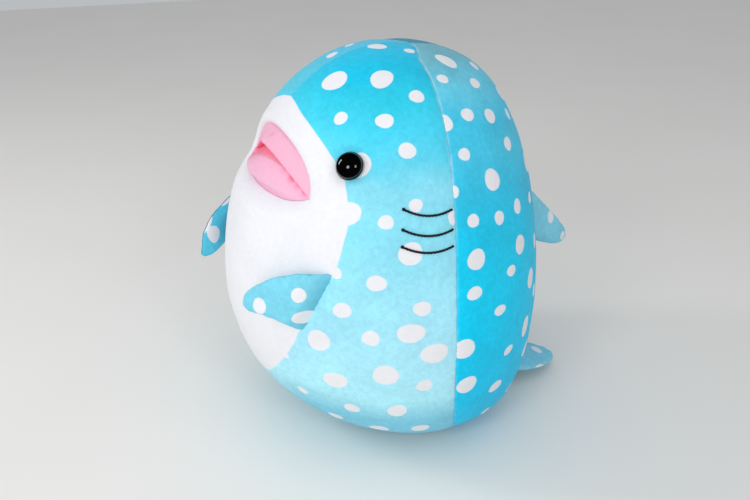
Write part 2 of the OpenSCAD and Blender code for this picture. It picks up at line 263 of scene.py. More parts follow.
def nearest(points, line):
    """Distance from each point to a line of points, and how far along the line, as an index."""
    flat = np.asarray(points, float).reshape(-1, 3)
    line = np.asarray(line, float)
    best = np.full(len(flat), np.inf)
    place = np.zeros(len(flat))
    for k, (a, b) in enumerate(zip(line[:-1], line[1:])):
        ab = b - a
        t = np.clip((flat - a) @ ab / (ab @ ab), 0, 1)
        d = np.linalg.norm(flat - a - t[:, None] * ab, axis=-1)
        closer = d < best
        best = np.where(closer, d, best)
        place = np.where(closer, k + t, place)
    shape = np.shape(points)[:-1]
    return best.reshape(shape), place.reshape(shape)


# ---- mouth outline ----
# s runs from corner to corner, -1 at the shark's right and 1 at its left

def upper_lip(s):
    return MOUTH_Z + LIP_RISE * np.sqrt(np.clip(1 - s * s, 0, 1))


def fold_line(s):
    """Height of the fold, which falls off faster on the shark's right."""
    return MOUTH_Z + FOLD_RISE * (1 - np.abs(s) ** np.where(s < 0, 1.6, 2.0))


def fold_sink(s):
    """Depth of the fold's front, which is drawn in more on the shark's right."""
    q = np.sqrt(s * s + 0.0036) - 0.06
    return np.where(s < 0, 30 * q - (30 - CORNER_SINK) * q * q, CORNER_SINK * s * s)


def lower_lip(s):
    return MOUTH_Z - LIP_DROP * np.clip(1 - np.abs(s) ** LIP_POWER, 0, 1)


def lip_sink(s, upper):
    return CORNER_SINK + (UPPER_SINK if upper else LOWER_SINK) * np.clip(1 - s * s, 0, 1)


_s = np.sin(np.linspace(-math.pi / 2, math.pi / 2, 60))
MOUTH_S = np.concatenate([_s, _s[-2::-1]])
MOUTH_RIM = skin(MOUTH_AZ * MOUTH_S, np.concatenate([upper_lip(_s), lower_lip(_s)[-2::-1]]))
MOUTH_SINK = np.concatenate([lip_sink(_s, True), lip_sink(_s, False)[-2::-1]])


def mouth_distance(az, z, places):
    """Distance from the mouth's outline, outside positive, and how deep its edge is sewn there."""
    s = np.clip(np.asarray(az) / MOUTH_AZ, -1, 1)
    inside = (np.abs(az) < MOUTH_AZ) & (z < upper_lip(s)) & (z > lower_lip(s))
    d, place = nearest(places, MOUTH_RIM)
    sink = np.interp(place, np.arange(len(MOUTH_SINK)), MOUTH_SINK)
    return np.where(inside, -d, d), sink


# ---- the sewn fabric's surface ----

def inward(az):
    """Level direction toward the body's middle."""
    turn = np.radians(np.asarray(az, float))
    return np.stack([-np.sin(turn), DEPTH_RATIO * np.cos(turn), 0 * turn], -1)


def valley(d, pairs):
    """Height at distance d from a sewn line, from (depth, width) pairs."""
    return -sum(depth * np.exp(-d / width) for depth, width in pairs)


def seam_shape(d, along, seed):
    """Valley and puckers at distance d from a seam, at this length along it."""
    drift = 2.2 * np.sin(along / 23 + seed) + 1.3 * np.sin(along / 9.1 + 2 * seed)
    short = np.cos(2 * math.pi * along / 4.2 + drift)
    slow = np.cos(2 * math.pi * along / 13 + 1.7 * drift)
    puckers = 0.2 * short * np.exp(-d / 2.6) + 0.28 * slow * np.exp(-d / 7)
    return valley(d, SEAM_VALLEYS) + puckers


def seams_height(az, z):
    """Height of the fabric round the nearest of the four seams, fading out at the crown."""
    seam_az = 90 * np.round(az / 90)
    r = level_r(z)
    d = r * np.abs(np.radians(az - seam_az))
    fade = smooth(r / CROWN_FADE_R)
    strength = fade * np.where(seam_az == 0, FRONT_SEAM, 1)
    shape = seam_shape(d, np.interp(z, _zs, _arc), np.mod(seam_az, 360) / 90)
    return strength * shape - CROWN_SINK * (1 - fade)


def fastenings_height(places):
    """How far the eyes and the fins' sewn roots pull the fabric in, as a negative height."""
    total = np.zeros(np.shape(places)[:-1])
    for side in (-1, 1):
        d_eye = np.linalg.norm(places - skin(side * EYE_AZ, EYE_Z), axis=-1)
        total = total - EYE_PULL * smooth((EYE_R + EYE_PULL_REACH - d_eye) / EYE_PULL_SLOPE)
    for root in ROOT_LINES:
        total = total + valley(nearest(places, root)[0], ROOT_VALLEYS)
    return total


def roll_depth(d, sink):
    """How deep the fabric lies at this distance outside the mouth's edge."""
    near = np.clip(1 - np.clip(d, 0, None) / ROLL_W, 0, 1)
    return sink * (1 - (1 - near ** 2) ** 0.7)


def crown_moved(az, z):
    """Places near the crown, moved back so that the gores meet behind the highest point."""
    body = skin(az, z)
    back = CROWN_BACK * smooth(1 - level_r(z) / CROWN_REACH)
    x, y = body[..., 0], body[..., 1] + back
    height = z
    for _ in range(5):
        north = -(y + lean_at(height)) / DEPTH_RATIO
        height = np.interp(np.hypot(x, north), _crown_r, _crown_z)
    moved = back > 0
    return np.where(moved, np.degrees(np.arctan2(x, north)), az), np.where(moved, height, z)


def fabric(az, z, out=0.0):
    """Points on the sewn and stuffed fabric's outside, or this far outside it."""
    az, z = np.broadcast_arrays(np.asarray(az, float), np.asarray(z, float))
    height = seams_height(az, z)
    az, z = crown_moved(az, z)
    body = skin(az, z)
    height = height + fastenings_height(body)
    for k, (rise, size) in enumerate(FABRIC_LUMPS):
        height = height + rise * lumps(body, size, SEED + k)
    height = height * smooth(z / FOOT_FADE) + out
    top = body + height[..., None] * outward(az, z)
    d, sink = mouth_distance(az, z, body)
    return top + roll_depth(d, sink)[..., None] * inward(az)


# ---- fins' places ----
# A fin is drawn flat: u runs down its root, v away from the body, w out of its outer face

def straight_frame(start, end, face, tilt, lift):
    """Frame of a fin whose root runs between two places on the body, given as (az, z)."""
    a, b = off_skin(*start, lift), off_skin(*end, lift)
    down = unit(b - a)
    along = unit(np.cross(down, face))
    out = np.cross(along, down)
    turn = math.radians(tilt)
    away = math.cos(turn) * along + math.sin(turn) * out
    return np.array([a, down, away, math.cos(turn) * out - math.sin(turn) * along])


def in_frame(frame_rows, u, v, w):
    """Points of a fin's own coordinates."""
    origin, du, dv, dw = frame_rows
    u, v, w = (np.asarray(x, float)[..., None] for x in np.broadcast_arrays(u, v, w))
    return origin + u * du + v * dv + w * dw


FIN_TOP, FIN_LOW = (49.5, 191), (40, 144)
FIN_FRAME = straight_frame(FIN_TOP, FIN_LOW,
                           outward((FIN_TOP[0] + FIN_LOW[0]) / 2, (FIN_TOP[1] + FIN_LOW[1]) / 2), 12, 4)
FIN_ROOT = 57
FIN_LEAD = ((-2, 0), (2.5, 24), (27, 51.5), (53, 52.5))
FIN_TRAIL = ((FIN_ROOT, 0), (57.5, 16), (59.5, 33), (60, 47))
FIN_HALF = (6, 4)

DORSAL_TOP, DORSAL_LOW = (180, 210), (180, 143)
DORSAL_FRAME = straight_frame(DORSAL_TOP, DORSAL_LOW, (-1, 0, 0), 0, 3.5)
DORSAL_FRAME[3] = (1, 0, 0)
DORSAL_ROOT = 76
DORSAL_LEAD = ((0, 1.5), (20, 26.5), (57, 58), (82, 65))
DORSAL_TRAIL = ((DORSAL_ROOT, 1.5), (80, 20), (97, 48), (90, 62))
DORSAL_HALF = (7, 7)

TAIL_Z = 22
TAIL_DROOP = math.radians(10)
TAIL_FRAME = np.array([off_skin(180, TAIL_Z, 4), (1, 0, 0),
                       (0, math.cos(TAIL_DROOP), -math.sin(TAIL_DROOP)),
                       (0, math.sin(TAIL_DROOP), math.cos(TAIL_DROOP))])
TAIL_ROOT = 44
TAIL_LOBE = ((TAIL_ROOT, 0), (57, 24), (54, 66), (31, 62))
TAIL_NOTCH = ((31, 62), (18, 61), (8, 52), (0, 40))
TAIL_HALF = (7, 7)


def tail_root_v(u):
    """The tail's root follows the body's round back."""
    r = level_r(TAIL_Z)
    return 1.5 - DEPTH_RATIO * (r - np.sqrt(r * r - u * u))


def on_skin(points):
    az, z, _ = surface_place(points)
    return skin(az, z)


def mirrored(points):
    return np.asarray(points, float) * (-1, 1, 1)


_fin_root = on_skin(in_frame(FIN_FRAME, np.linspace(0, FIN_ROOT, 12), 0, 0))
_dorsal_root = on_skin(in_frame(DORSAL_FRAME, np.linspace(0, DORSAL_ROOT, 12), 0, 0))
_tail_u = np.linspace(-TAIL_ROOT, TAIL_ROOT, 16)
_tail_root = on_skin(in_frame(TAIL_FRAME, _tail_u, tail_root_v(_tail_u), 0))
ROOT_LINES = (_fin_root, mirrored(_fin_root), _dorsal_root, _tail_root)


# ---- meshes ----

# Edges that turn by more than this, in degrees, stay sharp, such as a fabric's cut edges
RIM_ANGLE = 55


def linked(name, data):
    """A new object in the scene."""
    obj = bpy.data.objects.new(name, data)
    bpy.context.scene.collection.objects.link(obj)
    return obj


def new_mesh(name, points, faces, attributes=None):
    """A mesh object from points in mm. Every mesh keeps its rest places for its material."""
    mesh = bpy.data.meshes.new(name)
    points = np.asarray(points, float).reshape(-1, 3)
    used, place = np.unique(np.concatenate([np.asarray(f, int) for f in faces]), return_inverse=True)
    ends = np.cumsum([len(f) for f in faces])[:-1]
    faces = [f.tolist() for f in np.split(place, ends)]
    mesh.from_pydata((points[used] * MM).tolist(), [], faces)
    mesh.validate()
    mesh.update()
    mesh.shade_smooth()
    mesh.set_sharp_from_angle(angle=math.radians(RIM_ANGLE))
    for key, values in (attributes or {}).items():
        store(mesh, key, np.asarray(values)[used])
    store(mesh, "rest", coordinates(mesh))
    return linked(name, mesh)


def coordinates(mesh):
    """A mesh's vertices in metres."""
    co = np.empty(3 * len(mesh.vertices), np.float32)
    mesh.vertices.foreach_get("co", co)
    return co.reshape(-1, 3)


def store(mesh, key, values):
    """Keeps a number or a vector for each vertex as an attribute."""
    values = np.asarray(values, np.float32)
    if values.ndim == 1:
        mesh.attributes.new(key, "FLOAT", "POINT").data.foreach_set("value", values)
    else:
        layer = mesh.attributes.new(key, "FLOAT_VECTOR", "POINT")
        layer.data.foreach_set("vector", values.ravel())


def grid_faces(rows, cols, first=0, flip=False, closed=False):
    """Quads of a grid of rows by cols points."""
    i, j = np.meshgrid(np.arange(rows - 1), np.arange(cols if closed else cols - 1), indexing="ij")
    a = first + i * cols + j
    b = first + i * cols + (j + 1) % cols
    quads = np.stack([a, b, b + cols, a + cols], -1).reshape(-1, 4)
    return quads[:, ::-1] if flip else quads


def closed_sheet(outer, inner):
    """Points and faces of a closed sheet between two grids, outer one facing out."""
    rows, cols = outer.shape[:2]
    n = rows * cols
    rim = list(range(cols)) + [i * cols + cols - 1 for i in range(1, rows)]
    rim += [(rows - 1) * cols + j for j in range(cols - 2, -1, -1)]
    rim += [i * cols for i in range(rows - 2, 0, -1)]
    walls = [(rim[k - 1], n + rim[k - 1], n + rim[k], rim[k]) for k in range(len(rim))]
    faces = np.vstack([grid_faces(rows, cols), grid_faces(rows, cols, n, flip=True), walls])
    points = np.concatenate([outer.reshape(-1, 3), inner.reshape(-1, 3)])
    return points, faces


def tube(spine, radius, sides, up, twist=0.0, ply=0, ply_depth=0.0):
    """Points and faces of a closed tube along a spine; radius may be an array."""
    spine = np.asarray(spine, float)
    along = unit(np.gradient(spine, axis=0))
    side = unit(np.cross(along, np.asarray(up, float)))
    over = np.cross(side, along)
    steps = lengths_along(spine)
    turn = np.linspace(0, 2 * math.pi, sides, endpoint=False)
    r = np.broadcast_to(np.asarray(radius, float), len(spine))[:, None]
    r = r * (1 + ply_depth * np.cos(ply * turn[None] + twist * steps[:, None]))
    ring = np.cos(turn)[None, :, None] * side[:, None] + np.sin(turn)[None, :, None] * over[:, None]
    points = (spine[:, None] + r[..., None] * ring).reshape(-1, 3)
    faces = [tuple(f) for f in grid_faces(len(spine), sides, closed=True, flip=True)]
    faces.append(tuple(range(sides)))
    last = (len(spine) - 1) * sides
    faces.append(tuple(last + j for j in reversed(range(sides))))
    return points, faces


def capped(rings, bottom, top):
    """Points and faces of a closed solid from rings of points and a point at each end."""
    sides = len(rings[0])
    points = np.vstack([*rings, [bottom, top]])
    faces = [tuple(f) for f in grid_faces(len(rings), sides, closed=True)]
    n = len(rings) * sides
    for j in range(sides):
        k = (j + 1) % sides
        faces.append((k, j, n))
        faces.append((n - sides + j, n - sides + k, n + 1))
    return points, faces


def joined(parts):
    """Points and faces of several meshes put together."""
    points, faces, n = [], [], 0
    for p, f in parts:
        points.append(np.asarray(p, float))
        faces += [tuple(int(i) + n for i in face) for face in f]
        n += len(p)
    return np.vstack(points), faces


# ---- materials ----

def srgb(r, g, b):
    """Linear colour of a display colour given from 0 to 255."""
    c = np.array([r, g, b]) / 255
    c = np.where(c <= 0.04045, c / 12.92, ((c + 0.055) / 1.055) ** 2.4)
    return (*c.tolist(), 1.0)


class Graph:
    """Short calls for building one material's nodes."""

    def __init__(self, name):
        self.material = bpy.data.materials.new(name)
        self.material.use_nodes = True
        self.tree = self.material.node_tree
        self.shader = self.tree.nodes["Principled BSDF"]

    def node(self, kind, **values):
        n = self.tree.nodes.new(kind)
        for key, value in values.items():
            setattr(n, key, value)
        return n

    def feed(self, socket, value):
        if hasattr(value, "is_output"):
            self.tree.links.new(value, socket)
        else:
            socket.default_value = value

    def attribute(self, key, vector=False):
        n = self.node("ShaderNodeAttribute", attribute_name=key)
        return n.outputs["Vector" if vector else "Fac"]

    def math(self, operation, a, b=0.0, c=0.0):
        n = self.node("ShaderNodeMath", operation=operation)
        for socket, value in zip(n.inputs, (a, b, c)):
            self.feed(socket, value)
        return n.outputs[0]

    def scaled(self, value, factor, offset):
        return self.math("MULTIPLY_ADD", value, factor, offset)

    def step(self, value, low, high):
        n = self.node("ShaderNodeMapRange", interpolation_type="SMOOTHSTEP")
        for key, v in zip(("Value", "From Min", "From Max"), (value, low, high)):
            self.feed(n.inputs[key], v)
        return n.outputs[0]

    def mix(self, fac, a, b, blend="MIX"):
        n = self.node("ShaderNodeMix", data_type="RGBA", blend_type=blend)
        self.feed(n.inputs["Factor"], fac)
        self.feed(n.inputs["A"], a)
        self.feed(n.inputs["B"], b)
        return n.outputs["Result"]

    def noise(self, place, scale, detail=2.0, roughness=0.5, distortion=0.0):
        n = self.node("ShaderNodeTexNoise")
        self.feed(n.inputs["Vector"], place)
        for key, value in (("Scale", scale), ("Detail", detail), ("Roughness", roughness),
                           ("Distortion", distortion)):
            n.inputs[key].default_value = value
        return n.outputs["Fac"]

    def ramp(self, fac, stops):
        n = self.node("ShaderNodeValToRGB")
        self.feed(n.inputs[0], fac)
        elements = n.color_ramp.elements
        while len(elements) < len(stops):
            elements.new(0.5)
        for element, (place, *colour) in zip(elements, stops):
            element.position = place
            element.color = srgb(*colour)
        return n.outputs[0]

    def bump(self, height, distance, strength=1.0, normal=None):
        n = self.node("ShaderNodeBump")
        self.feed(n.inputs["Height"], height)
        n.inputs["Distance"].default_value = distance
        n.inputs["Strength"].default_value = strength
        if normal is not None:
            self.feed(n.inputs["Normal"], normal)
        return n.outputs[0]

    def done(self, colour, roughness, normal=None, **values):
        self.feed(self.shader.inputs["Base Color"], colour)
        self.feed(self.shader.inputs["Roughness"], roughness)
        if normal is not None:
            self.feed(self.shader.inputs["Normal"], normal)
        for key, value in values.items():
            self.shader.inputs[key.replace("_", " ").title().replace("Ior", "IOR")].default_value = value
        return self.material


def pile(g, colour, nap, plain):
    """Short plush pile over a colour: brushed patches as strong as nap, fine mottling and a soft
    bump. The patches and the mottling are weaker where plain is 1."""
    rest = g.attribute("rest", vector=True)
    brushed = g.noise(rest, 22, detail=3, roughness=0.6, distortion=0.8)
    mottle = g.noise(rest, 230, detail=3, roughness=0.65)
    tips = g.noise(rest, 1500, detail=1, roughness=0.7)
    shade = g.scaled(brushed, 2 * nap, 1 - nap)
    shade = g.math("MULTIPLY", shade, g.scaled(mottle, 0.36, 0.82))
    shade = g.math("MULTIPLY", shade, g.scaled(tips, 0.16, 0.92))
    shade = g.scaled(g.math("SUBTRACT", shade, 1.0), g.scaled(plain, -0.7, 1.0), 1.0)
    shaded = g.mix(1.0, colour, shade, "MULTIPLY")
    normal = g.bump(g.noise(rest, 90, detail=2), 0.0012, 0.2)
    normal = g.bump(mottle, 0.0005, 0.35, normal)
    normal = g.bump(tips, 0.0003, 0.6, normal)
    return shaded, normal


def plush_material(name, stops):
    """Printed plush: its colour changes up the body, and it is white where "white" is over 0. Three
    more attributes mix in painted light, painted shade and a painted highlight along the side seams."""
    g = Graph(name)
    rest = g.attribute("rest", vector=True)
    split = g.node("ShaderNodeSeparateXYZ")
    g.feed(split.inputs[0], rest)
    wander = g.noise(rest, 14, detail=2, roughness=0.5)
    height = g.scaled(split.outputs["Z"], 1 / (BODY_H * MM), -0.06)
    height = g.scaled(wander, 0.12, height)
    colour = g.ramp(height, stops)
    # Painted light, painted shade and a painted seam highlight over the printed colours
    for key, tint in (("painted_light", (150, 214, 230)), ("painted_shade", (0, 140, 172)), ("seam_highlight", (206, 236, 246))):
        colour = g.mix(g.attribute(key), colour, srgb(*tint))
    uneven = g.noise(rest, 1100, detail=2, roughness=0.7)
    edge = g.math("ADD", g.attribute("white"), g.scaled(uneven, 1.2, -0.6))
    printed = g.step(edge, -0.45, 0.45)
    colour = g.mix(printed, colour, srgb(236, 236, 240))
    shaded, normal = pile(g, colour, 0.17, printed)
    return g.done(shaded, 0.92, normal, sheen_weight=0.15, sheen_roughness=0.45,
                  specular_ior_level=0.15)


def pink_material(name, base):
    """Smooth pink plush of the mouth, with a deeper pink painted as shade in its pocket, under its fold,
    at its puckers and along its sewn edges.
    """
    g = Graph(name)
    # Painted shade: a deeper, redder pink
    colour = g.mix(g.attribute("mouth_shade"), srgb(*base), srgb(255, 112, 146))
    shaded, normal = pile(g, colour, 0.03, 0.8)
    return g.done(shaded, 0.85, normal, sheen_weight=0.2, sheen_roughness=0.4,
                  specular_ior_level=0.2)


def thread_material(name, colour, roughness=0.6):
    """Plied thread with fine fibres along it."""
    g = Graph(name)
    rest = g.attribute("rest", vector=True)
    fibres = g.noise(rest, 2600, detail=2, roughness=0.7)
    shaded = g.mix(1.0, srgb(*colour), g.scaled(fibres, 0.7, 0.65), "MULTIPLY")
    return g.done(shaded, roughness, g.bump(fibres, 0.0002, 0.8), sheen_weight=0.2,
                  specular_ior_level=0.3)


def eye_material():
    """Polished black plastic with the faintest moulding haze."""
    g = Graph("polished_black")
    rest = g.attribute("rest", vector=True)
    haze = g.noise(rest, 60, detail=3)
    colour = g.mix(haze, srgb(3, 3, 4), srgb(8, 8, 10))
    return g.done(colour, g.scaled(haze, 0.05, 0.05), coat_weight=0.3, coat_roughness=0.03,
                  specular_ior_level=0.35)


def washer_material():
    """Natural moulded plastic of the washers behind the eyes."""
    g = Graph("moulded_natural")
    place = g.node("ShaderNodeTexCoord").outputs["Object"]
    grain = g.noise(place, 900, detail=2)
    colour = g.mix(grain, srgb(226, 226, 222), srgb(240, 240, 236))
    return g.done(colour, 0.45, g.bump(grain, 0.0001, 0.4))


def stuffing_material():
    """Loose white polyester fibre."""
    g = Graph("polyester_fibre")
    rest = g.attribute("rest", vector=True)
    fibre = g.noise(rest, 160, detail=5, roughness=0.75, distortion=2.5)
    colour = g.mix(fibre, srgb(222, 222, 224), srgb(246, 246, 246))
    return g.done(colour, 0.95, g.bump(fibre, 0.002, 0.8), sheen_weight=0.3)


# Colours up the plush as (share of the body's height, red, green, blue)
FRONT_STOPS = ((0.0, 116, 200, 226), (0.17, 128, 208, 232), (0.25, 176, 238, 250),
               (0.4, 170, 232, 249), (0.54, 158, 231, 249), (0.66, 140, 224, 243),
               (0.74, 140, 224, 244), (0.79, 100, 218, 244), (0.85, 74, 213, 242),
               (0.91, 50, 206, 232), (0.97, 10, 196, 233))
BACK_STOPS = ((0.0, 0, 198, 242), (0.2, 0, 205, 248), (0.42, 4, 209, 249), (0.55, 20, 209, 246),
              (0.63, 28, 204, 242), (0.7, 48, 198, 234), (0.8, 74, 206, 239), (0.86, 66, 202, 236),
              (0.92, 106, 208, 234), (0.97, 112, 186, 204))
FIN_STOPS = ((0.0, 90, 200, 228), (0.3, 90, 203, 230), (0.6, 90, 206, 234))
MATERIALS = {
    "plush_front": plush_material("plush_front", FRONT_STOPS),
    "plush_back": plush_material("plush_back", BACK_STOPS),
    "fin_plush": plush_material("fin_plush", FIN_STOPS),
    "mouth_palate": pink_material("mouth_palate", (243, 182, 206)),
    "mouth_lip": pink_material("mouth_lip", (242, 186, 212)),
    "eye_black": eye_material(),
    "washer_plastic": washer_material(),
    "gill_thread": thread_material("gill_thread", (14, 20, 32), 0.45),
    "seam_thread": thread_material("seam_thread", (90, 190, 215)),
    "stuffing": stuffing_material(),
}


def finish_piece(obj, slot, nodes, body="body", blend=None):
    """Gives a piece its material, hides the CAD nodes that it stands for and hangs it on what it rides
    on, or with blend bakes its place into its points.
    """
    obj.data.materials.clear()
    obj.data.materials.append(MATERIALS[slot])
    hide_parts(*nodes)
    if blend:
        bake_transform(obj)
    else:
        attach(obj, body)


# ---- print on the gores: round white spots as (az, z, width, height) in degrees and mm ----

FRONT_SPOTS = (
    (22.5, 339, 18, 13), (87, 338.2, 9, 9), (24.5, 320, 22, 20), (56, 324, 17, 20), (77.5, 314, 12, 11),
    (40.5, 299, 11, 11), (61.5, 299.5, 13.5, 12), (72, 281, 13.5, 12), (75.5, 245, 10.5, 10),
    (65.5, 234, 11.5, 11), (89, 234, 8, 11), (74, 211.5, 18.5, 17), (63.5, 190, 15, 12.5),
    (78, 169.5, 14.5, 11.5), (53, 167, 15, 12), (74.5, 150, 21.5, 16.5), (62, 146, 14, 13),
    (45, 138, 20, 18), (82, 130, 22, 18.5), (66, 112, 21, 19), (49, 102, 21, 16.5),
    (78.5, 99, 13, 13), (33, 76, 10.5, 9), (68, 71, 16, 17), (51.5, 69.5, 13, 14),
    (74.5, 39, 16, 17), (56.5, 36, 18, 15), (40, 46, 14, 12), (20, 44, 14, 11),
)
EYE_SPOT = (53.4, 271.2, 19, 19)
BACK_SPOTS = (
    (117, 331.5, 14, 21), (98.5, 323, 10, 9), (123, 316, 12.5, 9.5), (104, 299.5, 12, 11),
    (90, 297, 13.5, 13.5), (119.5, 294.5, 14, 12), (96.5, 275, 10, 10), (108.5, 253.5, 16.5, 17),
    (90.5, 251.5, 7, 9), (97, 229, 10.5, 10.5), (109.5, 225, 11.5, 11), (97.5, 200, 17, 16),
    (121, 196, 15.5, 16.5), (114, 180, 12, 9), (96.5, 174, 14, 10.5), (107.5, 152, 13, 9),
    (92.5, 128, 21, 17.5), (114, 107, 13, 9), (94.5, 89, 18, 19), (109.5, 71, 17, 12),
    (125.5, 272, 13, 11), (122, 226, 11, 13), (126.5, 116, 15, 20), (129, 159, 16, 17),
    (146, 323, 13, 10), (150, 300, 15, 13), (145, 246, 18, 17), (136, 140, 13, 12),
    (156, 205, 18, 17), (138, 184, 12, 13), (158, 272, 15, 14), (148, 122, 18, 17),
    (166, 236, 14, 15), (168, 180, 18, 17), (166, 302, 13, 11), (132, 84, 17, 14),
    (150, 86, 15, 13), (168, 116, 20, 17), (172, 262, 11, 12), (154, 50, 16, 11),
    (126, 44, 14, 11), (172, 72, 16, 12), (164, 322, 12, 10), (172, 148, 11, 12),
    (155, 160, 12, 12), (137, 222, 11, 10), (108, 34, 11, 9), (140, 288, 10, 10),
)
# Spots of the front right gore next to the face, in place of the mirrored ones
FAR_FRONT_SPOTS = ((-14, 331, 14, 10), (-40, 318, 22, 17), (-34, 336, 11, 8))

# Edge of the white face and belly as (z, az), from the crown down
BELLY_EDGE = (
    (303.5, 0), (301, 9.5), (293, 24), (285, 33.5), (278, 39.5), (270, 44.5), (260, 49), (248, 51.5),
    (232, 53), (216, 52), (200, 50.5), (180, 46.6), (160, 42.1), (141, 38), (126, 35),
    (107, 29), (92, 23), (78, 15), (70, 0),
)
BELLY_BUMPS = ((53, 239, 17, 17), (50.5, 195, 9, 9), (31.5, 113.5, 6, 6))


def spot_depth(places, az, z, width, height, seed):
    """How far inside a slightly uneven round spot each place is, in mm."""
    centre = skin(az, z)
    out = outward(az, z)
    east = unit(np.cross([0, 0, 1], out))
    north = np.cross(out, east)
    x = (places - centre) @ east / (width / 2)
    y = (places - centre) @ north / (height / 2)
    turn = np.arctan2(y, x)
    wave = 1 + 0.035 * np.cos(2 * turn + seed * 2.1) + 0.03 * np.cos(3 * turn + seed * 3.7)
    near = np.abs((places - centre) @ out) < 25
    depth = (wave - np.hypot(x, y)) * math.sqrt(width * height) / 2
    return np.where(near, depth, -50)


_edge_z, _edge_az = np.clip(curve_through(BELLY_EDGE, 5.0), 0, None).T


def belly_depth(places, az, z):
    """How far inside the white face and belly each place is, in mm."""
    order = np.argsort(_edge_z)
    edge = np.interp(z, _edge_z[order], _edge_az[order], left=-1, right=-1)
    left, _ = nearest(places, skin(_edge_az, _edge_z))
    right, _ = nearest(places, skin(-_edge_az, _edge_z))
    d = np.where(np.asarray(az) < 0, right, left)
    return np.where(np.abs(az) < edge, d, -d)


def white_print(places, az, z, front, left):
    """Signed depth of the white print over a gore's points."""
    side = 1 if left else -1
    spots = list(FRONT_SPOTS if front else BACK_SPOTS)
    if front:
        spots += [EYE_SPOT, *BELLY_BUMPS]
    spots = [(side * a, h, w, t) for a, h, w, t in spots]
    if front and not left:
        spots = [s for s in spots if not (abs(s[0]) < 45 and s[1] > 315)] + list(FAR_FRONT_SPOTS)
    depth = np.full(len(places), -50.0)
    if front:
        depth = belly_depth(places, az, z)
    for k, spot in enumerate(spots):
        depth = np.maximum(depth, spot_depth(places, *spot, seed=k))
    return depth


# ---- gores ----

LOW_ROWS, HIGH_ROWS, ROLL_ROWS, UNDER_ROWS = 176, 100, 14, 6
MOUTH_COLS, SIDE_COLS = 38, 60
# How far below the crown the gores end
CROWN_END = 0.0002
# How far in the gores reach under the body, which leaves a gap to the base panel
FLANGE_R = BASE_R + 1.6


def gore_columns():
    """Angles from the front seam to the side seam, closer together at the mouth's corner and seam."""
    t = np.linspace(0, 1, MOUTH_COLS + 1)
    over_mouth = MOUTH_AZ * (0.4 * t + 0.6 * np.sin(t * math.pi / 2))
    t = np.linspace(0, 1, SIDE_COLS + 1)[1:]
    to_seam = MOUTH_AZ + (90 - MOUTH_AZ) * (0.35 * t + 0.65 * np.sin(t * math.pi / 2))
    return np.concatenate([over_mouth, to_seam])


def gore_rows(az_abs, front):
    """Heights of a gore's rows, up to the lower lip and from the upper lip to the crown."""
    s = np.clip(az_abs / MOUTH_AZ, 0, 1)
    middle = np.full(len(az_abs), float(MOUTH_Z))
    low, high = (lower_lip(s), upper_lip(s)) if front else (middle, middle)
    step = 1.3 * (np.arange(ROLL_ROWS, -1, -1) / ROLL_ROWS) ** 1.7 * ROLL_W
    roll_low = moved_up(low, -step[:, None])
    roll_high = moved_up(high, step[::-1, None])
    top = 0 * high + BODY_H - CROWN_END
    return np.concatenate([rows_between(0 * low, roll_low[0], LOW_ROWS)[:-1], roll_low, roll_high,
                           rows_between(roll_high[-1], top, HIGH_ROWS)[1:]])


def gore(name, start, slot, node):
    """One of the four body panels, from the seam at az = start to the seam 90 degrees on."""
    front = start in (-90, 0)
    left = start in (0, 90)
    columns = gore_columns()
    from_seam = columns if left == front else 90 - columns[::-1]
    az_abs = np.abs(start + from_seam)
    z = gore_rows(az_abs, front)
    open_w = SEAM_GAP * np.where(az_abs < 45, FRONT_SEAM, 1)
    gap = np.degrees(np.arcsin(np.clip(open_w / level_r(z), 0, 0.9)))
    az = start + from_seam + gap * (1 - from_seam / 45)
    top = fabric(az, z)
    top[..., 2] = np.maximum(top[..., 2], 0)
    flat = skin(*crown_moved(az, z))
    out = outward(*crown_moved(az, z))
    # Rows under the body, in to the base panel
    t = (np.arange(UNDER_ROWS) / UNDER_ROWS)[:, None]
    ring_r = FLANGE_R + (level_r(0) - FLANGE_R) * t
    turn = np.radians(start + from_seam)[None]
    round_y = 1 - (1 - DEPTH_RATIO) * t
    under = np.stack([ring_r * np.sin(turn), -ring_r * np.cos(turn) * round_y, 0 * ring_r * turn], -1)
    top = np.concatenate([under, top])
    flat = np.concatenate([under, flat])
    out = np.concatenate([np.broadcast_to([0, 0, -1.0], under.shape), out])
    all_az = np.concatenate([np.broadcast_to(start + from_seam, under.shape[:2]), az])
    all_z = np.concatenate([np.zeros(under.shape[:2]), z])
    inner = top - FABRIC * out
    inner[..., 2] = np.maximum(inner[..., 2], 0.2)
    points, faces = closed_sheet(top, inner)
    inside = az_abs < MOUTH_AZ - 1e-6 if front else np.zeros(len(az_abs), bool)
    faces = cut_open(faces, top.shape[:2], UNDER_ROWS + LOW_ROWS + ROLL_ROWS, inside)
    white = white_print(flat.reshape(-1, 3), all_az.ravel(), all_z.ravel(), front, left)
    values = {"white": white, **painted_light_and_shade(start, all_az.ravel(), all_z.ravel())}
    obj = new_mesh(name, points, faces, {key: np.concatenate([v, v]) for key, v in values.items()})
    finish_piece(obj, slot, [node])


def cut_open(faces, shape, row, inside):
    """Opens a sheet between this row and the next in the columns that are inside the mouth, and
    welds the two rows in the other columns."""
    rows, cols = shape
    n = rows * cols
    weld = np.arange(2 * n)
    for layer in (0, n):
        lower = layer + row * cols + np.arange(cols)
        weld[lower + cols] = np.where(inside, lower + cols, lower)
    kept = []
    for face in faces:
        in_rows = {int(i) % n // cols for i in face}
        if in_rows != {row, row + 1}:
            kept.append(tuple(dict.fromkeys(int(weld[i]) for i in face)))
    for j in np.flatnonzero(inside[:-1] | inside[1:]).tolist():
        a, b = row * cols + j, row * cols + j + 1
        c, d = int(weld[a + cols]), int(weld[b + cols])
        kept.append((b, a, n + a, n + b))
        kept.append((c, d, int(weld[n + b + cols]), int(weld[n + a + cols])))
    return kept


